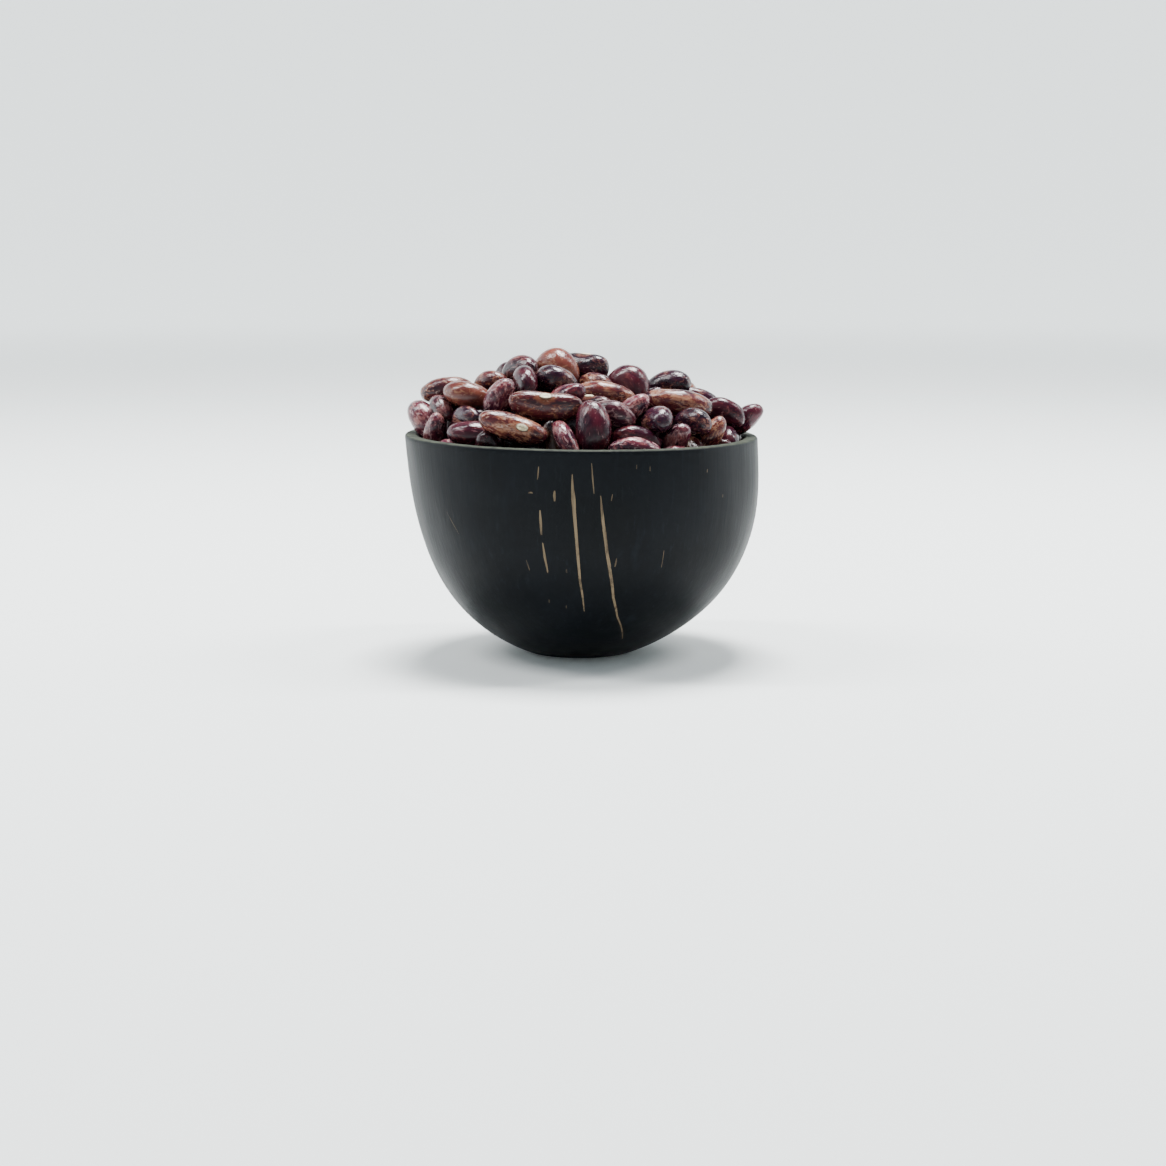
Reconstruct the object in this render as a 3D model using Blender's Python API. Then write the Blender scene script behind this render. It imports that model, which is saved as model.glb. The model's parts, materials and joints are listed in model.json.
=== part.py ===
"""A coconut-shell bowl heaped with dried speckled kidney beans, at its real size.

Sizes below are in millimetres and are turned into metres as each mesh is made; +Z is up.
The bowl stands on its sanded foot at the origin, and its front is on the -Y side.
"""

import math

import bmesh
import bpy
import numpy as np
from mathutils import Vector
from mathutils.bvhtree import BVHTree

MM = 0.001
WELD_STEPS = (2e-5, 1.2e-5, 8e-6, 5e-6, 3e-6, 2e-6, 1e-6, 5e-7, 2e-7, 0.0)
SMOOTH_ANGLE = math.radians(40)

# The bowl: a coconut shell cut across just below its widest place, sanded flat at the tip
RIM_RADIUS = 49.0
BOWL_HEIGHT = 60.7
WALL_AT_RIM = 3.6
FLOOR_HEIGHT = 3.0
NUT_WAIST = 70.0
NUT_TIP = -2.9
NUT_LENGTHWISE = 3.33
NUT_ACROSS = 1.71
EDGE_ROUND = 0.6
BOWL_SIDES = 52
BOWL_RINGS = 12
OUTSIDE_SPACING = 1.25
INSIDE_SPACING = 1.8

# No nut is quite straight: its middle sways sideways, its rim is carried over, and its right side is lower
NUT_SWAY = 1.6
RIM_LEAN = 0.35
RIM_FALL = 0.009

# One dried bean: a long one is hardly wider than a short one.
# The bend and the dent at the scar are shares of its length, and the levels and reaches shares of half of it.
BEAN_WIDTH = 5.7
BEAN_WIDTH_PER_LENGTH = 0.165
BEAN_FLATNESS = 0.83
BEAN_BEND = 0.075
BEND_LEVEL = 0.35
BEAN_NOTCH = 0.022
NOTCH_REACH = 0.35
BEAN_FULLNESS = 0.70
FRONT_BEAN_SIDES = 8
FRONT_BEAN_RINGS = 5
FILL_BEAN_SIDES = 7
FILL_BEAN_RINGS = 4

# The heap: the crest of the layer of bean middles, from the left of the bowl to the right, and its edge
CREST_ACROSS = (-46.0, -38.0, -30.0, -24.0, -17.0, -8.0, 2.0, 8.0, 16.0, 25.0, 31.0, 39.0, 46.0)
CREST_HEIGHT = (66.0, 72.5, 72.5, 75.0, 78.0, 80.0, 79.5, 75.0, 72.5, 74.0, 69.0, 67.0, 65.0)
HEAP_RADIUS = 43.5
HEAP_EDGE = 59.0
HEAP_FLATNESS = 2.2
HEAP_LEAST_REACH = 9.5
HEAP_FALL_LIMIT = 1.3
CLEARANCE = 0.45
CLEARANCE_SLACK = 0.1
CLEARANCE_TRIES = 12
TOUCH_DEPTH = 0.4

# The plain core that the beans sit on
CORE_DEPTH = 1.8
CORE_EDGE = 55.5
CORE_SIDES = 32
CORE_RINGS = 7
CORE_WALL_RINGS = 9
CORE_WALL_SPACING = 1.5
CORE_SOFTNESS = 5.0

# The beans that fill the rest of the heap
SEED = 11
FILL_BEANS = 128
FILL_SPACING = 7.4
FILL_FRONT = -3.0
FILL_LOWER = 1.5
FILL_LENGTHS = (13.0, 18.0)
FILL_GIRTHS = (0.9, 1.08)
FILL_ROLL_SPREAD = 0.6
FILL_TIP_SPREAD = 0.28
FILL_RISE = 0.3
GOLDEN_TURN = math.pi * (3.0 - math.sqrt(5.0))
SLOPE_STEP = 0.15

# The beans at the front are laid out as seen from this point, on the upright plane through the bowl's middle
VIEW_POINT = (0.9, -648.0, 118.0)

# across and up: the bean's middle on that plane, from below the view point. back: how far it lies behind it.
# length: from tip to tip.
# turn: its slope as seen. tip: how far it points at the viewer. roll: 0 has the scar in front, 90 on top.
# plump: its girth against a common bean of the same length.
FRONT_BEANS = (
    (-37.8, 73.1, 4, 15.2, 8, 10, 200, 1.04),
    (-32.8, 71.3, -9, 15.2, 5, 30, 210, 1.06),
    (-38.7, 68.8, -7, 13.0, -58, 64, 160, 0.84),
    (-44.3, 63.6, 0, 15.5, -68, 25, 150, 1.18),
    (-41.4, 61.4, -10, 12.5, 72, 45, 160, 0.90),
    (-32.3, 65.4, -18, 13.0, 0, 60, 250, 0.80),
    (-30.6, 61.1, -26, 14.5, -2, 15, 170, 0.98),
    (-34.8, 56.3, -22, 12.5, -20, 30, 200, 0.85),
    (-19.4, 62.7, -34, 19.0, -17, 6, 12, 1.00),
    (-10.3, 68.8, -28, 20.0, -4, 5, 45, 1.02),
    (-4.6, 59.4, -37, 13.5, -60, 35, 170, 0.80),
    (2.3, 62.0, -35, 16.0, 86, -20, 110, 1.24),
    (-4.4, 71.3, -19, 13.0, 20, 48, 200, 0.92),
    (-11.4, 72.0, -12, 12.0, -12, 40, 200, 0.80),
    (-8.0, 75.0, -11, 13.5, -4, 35, 200, 1.14),
    (-7.8, 78.6, 0, 15.5, -12, 32, 245, 1.34),
    (0.8, 78.9, 4, 14.5, -5, 28, 75, 1.22),
    (-16.6, 78.6, 3, 13.5, 12, 40, 230, 1.02),
    (-15.3, 75.0, -9, 14.0, 115, -50, 190, 0.92),
    (-23.3, 70.9, -17, 13.5, 62, 48, 200, 1.06),
    (-25.6, 75.0, 3, 13.0, 20, 58, 230, 0.90),
    (5.6, 71.9, -15, 17.6, -6, 8, 170, 0.92),
    (3.5, 74.3, -5, 13.0, -5, 40, 250, 0.88),
    (1.8, 69.1, -21, 14.0, -12, 35, 30, 0.85),
    (7.9, 66.3, -27, 14.0, -5, 25, 230, 0.95),
    (13.6, 67.0, -24, 13.0, 30, 45, 200, 0.95),
    (20.3, 64.5, -28, 13.5, -10, 52, 240, 1.06),
    (12.9, 74.4, -5, 13.5, -30, 38, 250, 1.26),
    (23.8, 74.5, 3, 13.5, 8, 25, 240, 1.00),
    (26.2, 69.5, -12, 19.5, -8, 6, 190, 1.02),
    (31.0, 70.3, 2, 14.0, -12, 15, 250, 0.85),
    (30.6, 64.1, -21, 13.5, -3, 48, 250, 0.95),
    (38.6, 67.1, -3, 13.5, -14, 30, 230, 0.98),
    (44.9, 65.0, 2, 12.5, 38, 38, 190, 0.98),
    (34.3, 59.7, -19, 15.0, 48, 20, 160, 0.88),
    (41.4, 59.1, -11, 13.0, -18, 40, 200, 0.92),
    (25.9, 58.2, -31, 13.0, 78, 45, 190, 0.92),
    (14.7, 59.2, -33, 14.0, -12, 10, 200, 0.92),
    (14.8, 56.0, -38, 15.0, -6, 5, 200, 0.95),
    (25.2, 54.6, -34, 13.5, 6, 10, 240, 0.90),
)

# Six balls stand for each bean while the beans are eased apart, with sizes and places in shares of the bean's
TIP_BALL = 0.30
SIDE_BALL = 0.485
SIDE_BALL_ALONG = 0.13
SIDE_BALL_ACROSS = 0.48
BALL_GAP = 0.1

# How the beans are eased apart until none runs into its neighbour
EASE_ROUNDS = 320
PAIR_ROUNDS = 8
PAIR_MARGIN = 2.0
PUSH_SHARE = 0.5
HOLD_SHARE = 0.6
HOLD_AS_SEEN = 0.10
HOLD_IN_DEPTH = 0.015
HOLD_FILL = 0.02
SINK = 0.03


def clear_scene():
    for thing in list(bpy.data.objects):
        bpy.data.objects.remove(thing, do_unlink=True)


def unit(vector):
    return vector / np.linalg.norm(vector, axis=-1, keepdims=True)


def shell_radius(height, widest, tip):
    """Radius of a nut that is this wide at its waist and comes to a point at this tip."""
    share = np.clip((NUT_WAIST - height) / (NUT_WAIST - tip), 0.0, 1.0)
    return widest * (1.0 - share**NUT_LENGTHWISE) ** (1.0 / NUT_ACROSS)


def outer_radius(height):
    return shell_radius(height, RIM_RADIUS, NUT_TIP)


def inner_radius(height):
    return shell_radius(height, RIM_RADIUS - WALL_AT_RIM, FLOOR_HEIGHT)


def lean(height):
    """How far the shell's middle is carried sideways at each height."""
    share = np.clip(height / BOWL_HEIGHT, 0.0, 1.0)
    return NUT_SWAY * np.sin(np.pi * share) + RIM_LEAN * share


def lean_points(points):
    """Carry upright points along with the leaning shell, and lower the rim on its right side."""
    moved = np.array(points, dtype=float)
    share = np.clip(moved[:, 2] / BOWL_HEIGHT, 0.0, 1.0)
    moved[:, 0] += lean(moved[:, 2])
    moved[:, 2] -= RIM_FALL * moved[:, 0] * share**2
    return moved


def straighten_points(points):
    """The way back from a place in the leaning shell to its place in an upright one."""
    moved = np.array(points, dtype=float)
    share = np.clip(moved[..., 2] / BOWL_HEIGHT, 0.0, 1.0)
    moved[..., 2] += RIM_FALL * moved[..., 0] * share**2
    moved[..., 0] -= lean(moved[..., 2])
    return moved


def wall_outline():
    """The wall cut through on one side, as radius and height, from the foot up and down the inside."""
    top = BOWL_HEIGHT - EDGE_ROUND
    shares = np.linspace(0.0, 1.0, BOWL_RINGS)
    outer = shares**OUTSIDE_SPACING * top
    inner = FLOOR_HEIGHT + (1.0 - shares) ** INSIDE_SPACING * (top - FLOOR_HEIGHT)
    outline = [(outer_radius(height), height) for height in outer]
    outline.append((outer_radius(BOWL_HEIGHT) - EDGE_ROUND, BOWL_HEIGHT))
    outline.append((inner_radius(BOWL_HEIGHT) + EDGE_ROUND, BOWL_HEIGHT))
    outline.extend((inner_radius(height), height) for height in inner[:-1])
    return np.array(outline)


def wall_distance(points):
    """Distance of each point from the shell's wall and the way off it, taken on an upright shell."""
    straight = straighten_points(points)
    radius = np.maximum(np.hypot(straight[:, 0], straight[:, 1]), 1e-6)
    spot = np.stack([radius, straight[:, 2]], axis=1)
    outline = np.vstack([[0.0, 0.0], wall_outline(), [0.0, FLOOR_HEIGHT]])
    start = outline[:-1]
    run = outline[1:] - start
    along = np.einsum("nsk,sk->ns", spot[:, None] - start[None], run) / np.sum(run * run, axis=1)
    near = start[None] + np.clip(along, 0.0, 1.0)[..., None] * run[None]
    off = spot[:, None] - near
    gap = np.linalg.norm(off, axis=2)
    best = np.argmin(gap, axis=1)
    rows = np.arange(len(spot))
    off = off[rows, best]
    gap = gap[rows, best]
    low = spot[:, 1] < BOWL_HEIGHT
    within = low & (radius > inner_radius(spot[:, 1])) & (radius < outer_radius(spot[:, 1]))
    gap = np.where(within, -gap, gap)
    way = off / np.where(np.abs(gap) < 1e-9, 1e-9, gap)[:, None]
    outward = straight[:, :2] / radius[:, None]
    return gap, np.stack([outward[:, 0] * way[:, 0], outward[:, 1] * way[:, 0], way[:, 1]], axis=1)


def heap_height(across, deep):
    """Height of the layer of bean middles at a place seen from above."""
    crest = np.interp(across - VIEW_POINT[0], CREST_ACROSS, CREST_HEIGHT)
    reach = np.sqrt(np.maximum(HEAP_RADIUS**2 - np.asarray(across) ** 2, HEAP_LEAST_REACH**2))
    share = np.minimum(np.abs(deep) / reach, HEAP_FALL_LIMIT)
    return HEAP_EDGE + (crest - HEAP_EDGE) * (1.0 - share**HEAP_FLATNESS)


def bean_sizes(lengths, plump):
    """Length, width and thickness of beans of these lengths."""
    lengths = np.asarray(lengths, dtype=float)
    widths = (BEAN_WIDTH + BEAN_WIDTH_PER_LENGTH * lengths) * np.asarray(plump)
    return np.stack([lengths, widths, widths * BEAN_FLATNESS], axis=-1)


def bean_points(size, sides, rings):
    """Points of one bean along +X with its scar on +Y: the two tips come first and last."""
    length, width, thickness = size
    points = [(length / 2.0, 0.0, 0.0)]
    for ring in range(rings):
        turn = math.pi * (ring + 0.8) / (rings + 0.6)
        swell = math.sin(turn) ** BEAN_FULLNESS
        for side in range(sides):
            round_turn = 2.0 * math.pi * (side + 0.5) / sides
            points.append((
                length / 2.0 * math.cos(turn),
                width / 2.0 * swell * math.cos(round_turn),
                thickness / 2.0 * swell * math.sin(round_turn),
            ))
    points.append((-length / 2.0, 0.0, 0.0))
    points = np.array(points)
    share = 2.0 * points[:, 0] / length
    facing = np.clip(points[:, 1] / (width / 2.0), 0.0, 1.0)
    points[:, 1] -= BEAN_NOTCH * length * facing * np.exp(-((share / NOTCH_REACH) ** 2))
    points[:, 1] += BEAN_BEND * length * (share**2 - BEND_LEVEL)
    return points


def bean_balls(sizes):
    """Six balls that fill each bean: their middles and their radii."""
    length, width, thickness = sizes[:, 0], sizes[:, 1], sizes[:, 2]
    middles = np.zeros((len(sizes), 6, 3))
    radii = np.zeros((len(sizes), 6))
    for number, end in enumerate((-1.0, 1.0)):
        radii[:, 3 * number] = TIP_BALL * width
        middles[:, 3 * number, 0] = end * (0.5 * length - TIP_BALL * width)
        for place, side in enumerate((-1.0, 1.0)):
            spot = 3 * number + 1 + place
            radii[:, spot] = SIDE_BALL * thickness
            middles[:, spot, 0] = end * SIDE_BALL_ALONG * length
            middles[:, spot, 1] = side * (SIDE_BALL_ACROSS * width - SIDE_BALL * thickness)
    share = 2.0 * middles[:, :, 0] / length[:, None]
    middles[:, :, 1] += BEAN_BEND * length[:, None] * (share**2 - BEND_LEVEL)
    return middles, radii


def front_frames():
    """Middles, axes and sizes of the beans laid out as seen from the front."""
    eye = np.array(VIEW_POINT)
    middles = []
    frames = []
    sizes = []
    for across, up, back, length, turn, tip, roll, plump in FRONT_BEANS:
        sight = np.array([eye[0] + across, 0.0, up]) - eye
        middle = eye + sight * (back - eye[1]) / (0.0 - eye[1])
        toward = unit(-sight)
        right = unit(np.cross([0.0, 0.0, 1.0], toward))
        top = np.cross(toward, right)
        turn = math.radians(turn)
        tip = math.radians(tip)
        roll = math.radians(roll)
        flat = math.cos(turn) * right + math.sin(turn) * top
        long = math.cos(tip) * flat + math.sin(tip) * toward
        front = unit(toward - np.dot(toward, long) * long)
        scar = math.cos(roll) * front + math.sin(roll) * np.cross(front, long)
        middles.append(middle)
        frames.append(np.stack([long, scar, np.cross(long, scar)], axis=1))
        sizes.append(bean_sizes(length, plump))
    return np.array(middles), np.array(frames), np.array(sizes)


def fill_frames(taken, draw):
    """Beans for the rest of the heap, set out in a golden spiral and kept off the places already taken."""
    middles = []
    frames = []
    sizes = []
    for place in range(FILL_BEANS):
        away = HEAP_RADIUS * math.sqrt((place + 0.5) / FILL_BEANS)
        round_turn = place * GOLDEN_TURN
        across = away * math.cos(round_turn)
        deep = away * math.sin(round_turn)
        height = float(heap_height(across, deep)) - FILL_LOWER
        turn = draw.uniform(0.0, 2.0 * math.pi)
        roll = draw.normal(math.pi / 2.0, FILL_ROLL_SPREAD)
        tip = draw.normal(0.0, FILL_TIP_SPREAD)
        size = bean_sizes(draw.uniform(*FILL_LENGTHS), draw.uniform(*FILL_GIRTHS))
        middle = np.array([across, deep, height])
        if deep < FILL_FRONT or min(np.linalg.norm(taken - middle, axis=1)) < FILL_SPACING:
            continue
        rise_x = float(heap_height(across + SLOPE_STEP, deep) - heap_height(across - SLOPE_STEP, deep))
        rise_y = float(heap_height(across, deep + SLOPE_STEP) - heap_height(across, deep - SLOPE_STEP))
        normal = unit(np.array([-rise_x, -rise_y, 2.0 * SLOPE_STEP]))
        flat = unit(np.cross(normal, [math.cos(turn), math.sin(turn), FILL_RISE]))
        long = math.cos(tip) * flat + math.sin(tip) * normal
        level = unit(np.cross(long, normal))
        lift = np.cross(level, long)
        scar = math.sin(roll) * level + math.cos(roll) * lift
        middles.append(middle)
        frames.append(np.stack([long, scar, np.cross(long, scar)], axis=1))
        sizes.append(size)
    return np.array(middles), np.array(frames), np.array(sizes)


def near_pairs(middles, lengths):
    """Numbers of the beans that may touch, as two lists."""
    gap = np.linalg.norm(middles[:, None] - middles[None], axis=2)
    reach = 0.5 * (lengths[:, None] + lengths[None]) + PAIR_MARGIN
    first, second = np.nonzero(np.triu(gap < reach, 1))
    return first, second


def ease_apart(middles, frames, sizes, front_count):
    """Move and turn the beans, each kept stiff, until they only touch each other and clear the shell."""
    rest, radii = bean_balls(sizes)
    count = len(middles)
    rest_middle = rest.mean(axis=1, keepdims=True)
    balls = np.einsum("nij,nbj->nbi", frames, rest) + middles[:, None]
    goal = balls.copy()
    sight = unit(middles - np.array(VIEW_POINT))
    is_front = np.arange(count) < front_count
    for turn in range(EASE_ROUNDS):
        if turn % PAIR_ROUNDS == 0:
            first, second = near_pairs(balls.mean(axis=1), sizes[:, 0])
        shift = np.zeros_like(balls)
        off = balls[first][:, :, None] - balls[second][:, None]
        gap = np.linalg.norm(off, axis=3)
        wanted = radii[first][:, :, None] + radii[second][:, None] + BALL_GAP
        push = np.maximum(wanted - gap, 0.0)
        move = off / np.maximum(gap, 1e-6)[..., None] * (0.5 * push)[..., None]
        np.add.at(shift, first, PUSH_SHARE * move.sum(axis=2))
        np.add.at(shift, second, -PUSH_SHARE * move.sum(axis=1))
        balls = balls + shift
        if turn <= EASE_ROUNDS * HOLD_SHARE:
            to_goal = goal - balls
            depth = np.einsum("nbk,nk->nb", to_goal, sight)[..., None] * sight[:, None]
            held = HOLD_AS_SEEN * (to_goal - depth) + HOLD_IN_DEPTH * depth
            balls = balls + np.where(is_front[:, None, None], held, HOLD_FILL * to_goal)
            balls[:, :, 2] -= SINK
        flat = balls.reshape(-1, 3)
        distance, way = wall_distance(flat)
        short = np.maximum(radii.reshape(-1) + CLEARANCE - distance, 0.0)
        balls = (flat + way * short[:, None]).reshape(count, -1, 3)
        centre = balls.mean(axis=1, keepdims=True)
        spread = np.einsum("nbi,nbj->nij", balls - centre, rest - rest_middle)
        left, _, right = np.linalg.svd(spread + 1e-9 * np.eye(3))
        left[:, :, 2] *= np.linalg.det(left @ right)[:, None]
        frames = left @ right
        balls = centre + np.einsum("nij,nbj->nbi", frames, rest - rest_middle)
    middles = centre[:, 0] - np.einsum("nij,nj->ni", frames, rest_middle[:, 0])
    return middles, frames


def lay_out_heap():
    """Every bean of the top layer: its middle, its axes and its sizes."""
    draw = np.random.default_rng(SEED)
    front_middles, front_axes, front_sizes = front_frames()
    fill_middles, fill_axes, fill_sizes = fill_frames(front_middles, draw)
    middles = np.vstack([front_middles, fill_middles])
    frames = np.vstack([front_axes, fill_axes])
    sizes = np.vstack([front_sizes, fill_sizes])
    middles, frames = ease_apart(middles, frames, sizes, len(front_middles))
    return middles, frames, sizes


def core_height(across, deep, middles):
    """Height of the plain core: a little under the middles of the beans lying nearest."""
    away = (across - middles[:, 0]) ** 2 + (deep - middles[:, 1]) ** 2
    weight = np.exp(-away / (2.0 * CORE_SOFTNESS**2))
    return float(np.sum(weight * middles[:, 2]) / np.sum(weight)) - CORE_DEPTH


def material(name, colour, roughness, coat=0.0):
    made = bpy.data.materials.new(name)
    made.use_nodes = True
    shader = made.node_tree.nodes["Principled BSDF"]
    shader.inputs["Base Color"].default_value = (*colour, 1.0)
    shader.inputs["Roughness"].default_value = roughness
    shader.inputs["Coat Weight"].default_value = coat
    made.diffuse_color = (*colour, 1.0)
    return made


def add_object(name, points, faces, surface):
    mesh = bpy.data.meshes.new(name)
    mesh.from_pydata([tuple(float(value) * MM for value in point) for point in points], [], faces)
    mesh.materials.append(surface)
    thing = bpy.data.objects.new(name, mesh)
    bpy.context.scene.collection.objects.link(thing)
    face_out(mesh)
    return thing


def face_out(mesh):
    work = bmesh.new()
    work.from_mesh(mesh)
    bmesh.ops.triangulate(work, faces=work.faces)
    bmesh.ops.recalc_face_normals(work, faces=work.faces)
    if work.calc_volume(signed=True) < 0.0:
        bmesh.ops.reverse_faces(work, faces=work.faces)
    work.to_mesh(mesh)
    work.free()


def ring_faces(first, second, sides):
    return [
        (first + side, first + (side + 1) % sides, second + (side + 1) % sides, second + side)
        for side in range(sides)
    ]


def build_bowl(surface):
    """The shell: outside, sanded foot, flat rim with eased edges, and inside down to a rounded floor."""
    outline = wall_outline()
    points = []
    faces = []
    for radius, height in outline:
        for side in range(BOWL_SIDES):
            turn = 2.0 * math.pi * (side + 0.5) / BOWL_SIDES
            points.append((radius * math.cos(turn), radius * math.sin(turn), height))
    for ring in range(len(outline) - 1):
        faces.extend(ring_faces(ring * BOWL_SIDES, (ring + 1) * BOWL_SIDES, BOWL_SIDES))
    points.append((0.0, 0.0, 0.0))
    points.append((0.0, 0.0, FLOOR_HEIGHT))
    foot = len(points) - 2
    floor = len(points) - 1
    last = (len(outline) - 1) * BOWL_SIDES
    for side in range(BOWL_SIDES):
        following = (side + 1) % BOWL_SIDES
        faces.append((foot, following, side))
        faces.append((floor, last + side, last + following))
    return add_object("bowl", lean_points(points), faces, surface)


def bean_faces(sides, rings):
    faces = []
    for ring in range(rings - 1):
        faces.extend(ring_faces(1 + ring * sides, 1 + (ring + 1) * sides, sides))
    last = 1 + (rings - 1) * sides
    for side in range(sides):
        following = (side + 1) % sides
        faces.append((0, 1 + following, 1 + side))
        faces.append((last + sides, last + side, last + following))
    return faces


def clear_of_shell(points):
    """Move a bean until all its points clear the shell, or give it up."""
    for _ in range(CLEARANCE_TRIES):
        gap, way = wall_distance(points)
        worst = int(np.argmin(gap))
        if gap[worst] >= CLEARANCE - CLEARANCE_SLACK:
            return points
        points = points + way[worst] * (CLEARANCE - gap[worst])
    return None


def build_core(middles, surface):
    """The plain body of the heap: it follows the inside of the shell and mounds up under the beans."""
    shares = np.linspace(0.0, 1.0, CORE_WALL_RINGS)[1:]
    heights = FLOOR_HEIGHT + shares**CORE_WALL_SPACING * (CORE_EDGE - FLOOR_HEIGHT)
    points = []
    faces = []
    for height in heights:
        radius = float(inner_radius(height)) - CLEARANCE
        for side in range(CORE_SIDES):
            turn = 2.0 * math.pi * (side + 0.5) / CORE_SIDES
            points.append((radius * math.cos(turn), radius * math.sin(turn), height + CLEARANCE * 0.5))
    points = list(lean_points(points))
    rim = float(inner_radius(CORE_EDGE)) - CLEARANCE
    for ring in range(1, CORE_RINGS):
        radius = rim * (1.0 - ring / CORE_RINGS)
        for side in range(CORE_SIDES):
            turn = 2.0 * math.pi * (side + 0.5) / CORE_SIDES
            across = radius * math.cos(turn)
            deep = radius * math.sin(turn)
            height = max(core_height(across, deep, middles), CORE_EDGE)
            points.append((across, deep, height))
    rings = len(heights) + CORE_RINGS - 1
    for ring in range(rings - 1):
        faces.extend(ring_faces(ring * CORE_SIDES, (ring + 1) * CORE_SIDES, CORE_SIDES))
    points.append((0.0, 0.0, FLOOR_HEIGHT + CLEARANCE))
    points.append((0.0, 0.0, core_height(0.0, 0.0, middles)))
    low = len(points) - 2
    top = len(points) - 1
    last = (rings - 1) * CORE_SIDES
    for side in range(CORE_SIDES):
        following = (side + 1) % CORE_SIDES
        faces.append((low, following, side))
        faces.append((top, last + side, last + following))
    return add_object("beans", points, faces, surface)


def skin_tree(points, faces):
    return BVHTree.FromPolygons([Vector(point) for point in points], faces)


def shortest_way(points, trees):
    """How far the nearest of these skins is from any of these points, and the way there."""
    best = (math.inf, None)
    for tree in trees:
        for point in points:
            near, _, _, gap = tree.find_nearest(Vector(point))
            if gap < best[0]:
                best = (gap, np.array(near) - point)
    return best


def draw_together(body, beans):
    """Rest each bean that touches nothing against its nearest neighbour, so that the heap is one solid.

    beans holds each bean's points and faces, and they come back in the order in which they joined the heap.
    """
    corners = [corner.co / MM for corner in body.data.vertices]
    skins = [skin_tree(corners, [face.vertices for face in body.data.polygons])]
    joined = []
    loose = list(beans)
    while loose:
        apart = []
        for points, faces in loose:
            skin = skin_tree(points, faces)
            if any(skin.overlap(other) for other in skins):
                skins.append(skin)
                joined.append((points, faces))
            else:
                apart.append((points, faces))
        if len(apart) == len(loose):
            ways = [shortest_way(points, skins) for points, _ in apart]
            nearest = min(range(len(ways)), key=lambda number: ways[number][0])
            gap, way = ways[nearest]
            points, faces = apart[nearest]
            print("a loose bean moves", round(gap + TOUCH_DEPTH, 2), "mm")
            apart[nearest] = (points + way * (gap + TOUCH_DEPTH) / gap, faces)
        loose = apart
    print("smallest gap to the shell", min(float(wall_distance(points)[0].min()) for points, _ in joined))
    return joined


def join_pieces(body, pieces):
    """One solid from the core and the beans on it."""
    group = bpy.data.collections.new("bean pieces")
    bpy.context.scene.collection.children.link(group)
    for piece in pieces:
        bpy.context.scene.collection.objects.unlink(piece)
        group.objects.link(piece)
    union = body.modifiers.new("fuse", "BOOLEAN")
    union.operation = "UNION"
    union.operand_type = "COLLECTION"
    union.collection = group
    union.solver = "EXACT"
    bpy.context.view_layer.update()
    ready = body.evaluated_get(bpy.context.evaluated_depsgraph_get())
    fused = bpy.data.meshes.new_from_object(ready)
    body.modifiers.clear()
    spare = body.data
    body.data = fused
    bpy.data.meshes.remove(spare)
    for piece in pieces:
        bpy.data.objects.remove(piece, do_unlink=True)
    bpy.data.collections.remove(group)


def shells_of(work):
    """The separate closed skins of a mesh as lists of corners, the largest first."""
    seen = set()
    groups = []
    for start in work.verts:
        if start in seen:
            continue
        seen.add(start)
        stack = [start]
        group = []
        while stack:
            corner = stack.pop()
            group.append(corner)
            for edge in corner.link_edges:
                other = edge.other_vert(corner)
                if other not in seen:
                    seen.add(other)
                    stack.append(other)
        groups.append(group)
    groups.sort(key=len, reverse=True)
    return groups


def open_edges(work):
    return sum(1 for edge in work.edges if len(edge.link_faces) != 2)


def keep_main_shell(thing):
    """Fill sealed hollows, drop loose scraps and weld slivers as far as the skin stays closed."""
    best = None
    for weld in WELD_STEPS:
        work = bmesh.new()
        work.from_mesh(thing.data)
        spare = [corner for group in shells_of(work)[1:] for corner in group]
        bmesh.ops.delete(work, geom=spare, context="VERTS")
        if weld > 0.0:
            bmesh.ops.remove_doubles(work, verts=work.verts, dist=weld)
            bmesh.ops.dissolve_degenerate(work, edges=work.edges, dist=weld)
        bmesh.ops.triangulate(work, faces=work.faces)
        left = open_edges(work) + len(shells_of(work)) - 1
        if best is None or left < best:
            best = left
        if left == 0:
            work.to_mesh(thing.data)
            work.free()
            print("welded at", weld)
            return
        work.free()
    raise ValueError("the skin of " + thing.name + " did not close, edges left: " + str(best))


def report_skin(thing):
    work = bmesh.new()
    work.from_mesh(thing.data)
    loose = open_edges(work)
    faces = sum(len(face.verts) - 2 for face in work.faces)
    volume = work.calc_volume() / MM**3 * 0.001
    print(thing.name, "triangles", faces, "open or shared edges", loose, "volume cm3", volume)
    work.free()


def shade(thing):
    thing.data.shade_smooth()
    thing.data.set_sharp_from_angle(angle=SMOOTH_ANGLE)


def main():
    clear_scene()
    shell = material("dark coconut shell", (0.022, 0.022, 0.024), 0.42)
    skin = material("speckled bean skin", (0.16, 0.045, 0.045), 0.30, 0.4)
    bowl = build_bowl(shell)
    middles, frames, sizes = lay_out_heap()
    beans = build_core(middles, skin)
    laid = []
    for number, (middle, frame, size) in enumerate(zip(middles, frames, sizes)):
        sides, rings = FRONT_BEAN_SIDES, FRONT_BEAN_RINGS
        if number >= len(FRONT_BEANS):
            sides, rings = FILL_BEAN_SIDES, FILL_BEAN_RINGS
        points = clear_of_shell(bean_points(size, sides, rings) @ frame.T + middle)
        if points is not None:
            laid.append((points, bean_faces(sides, rings)))
    pieces = [add_object("bean", points, faces, skin) for points, faces in draw_together(beans, laid)]
    print("beans laid", len(middles), "fused", len(pieces))
    join_pieces(beans, pieces)
    keep_main_shell(beans)
    face_out(beans.data)
    for thing in (bowl, beans):
        shade(thing)
        report_skin(thing)


main()
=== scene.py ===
"""The look of a coconut-shell bowl heaped with dried speckled kidney beans.

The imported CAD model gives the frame. Sizes here are in millimetres until a mesh is made, and the scene is in
metres. The bowl's shape, the front beans and how the beans are eased apart are those of the part's source.
"""

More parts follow.
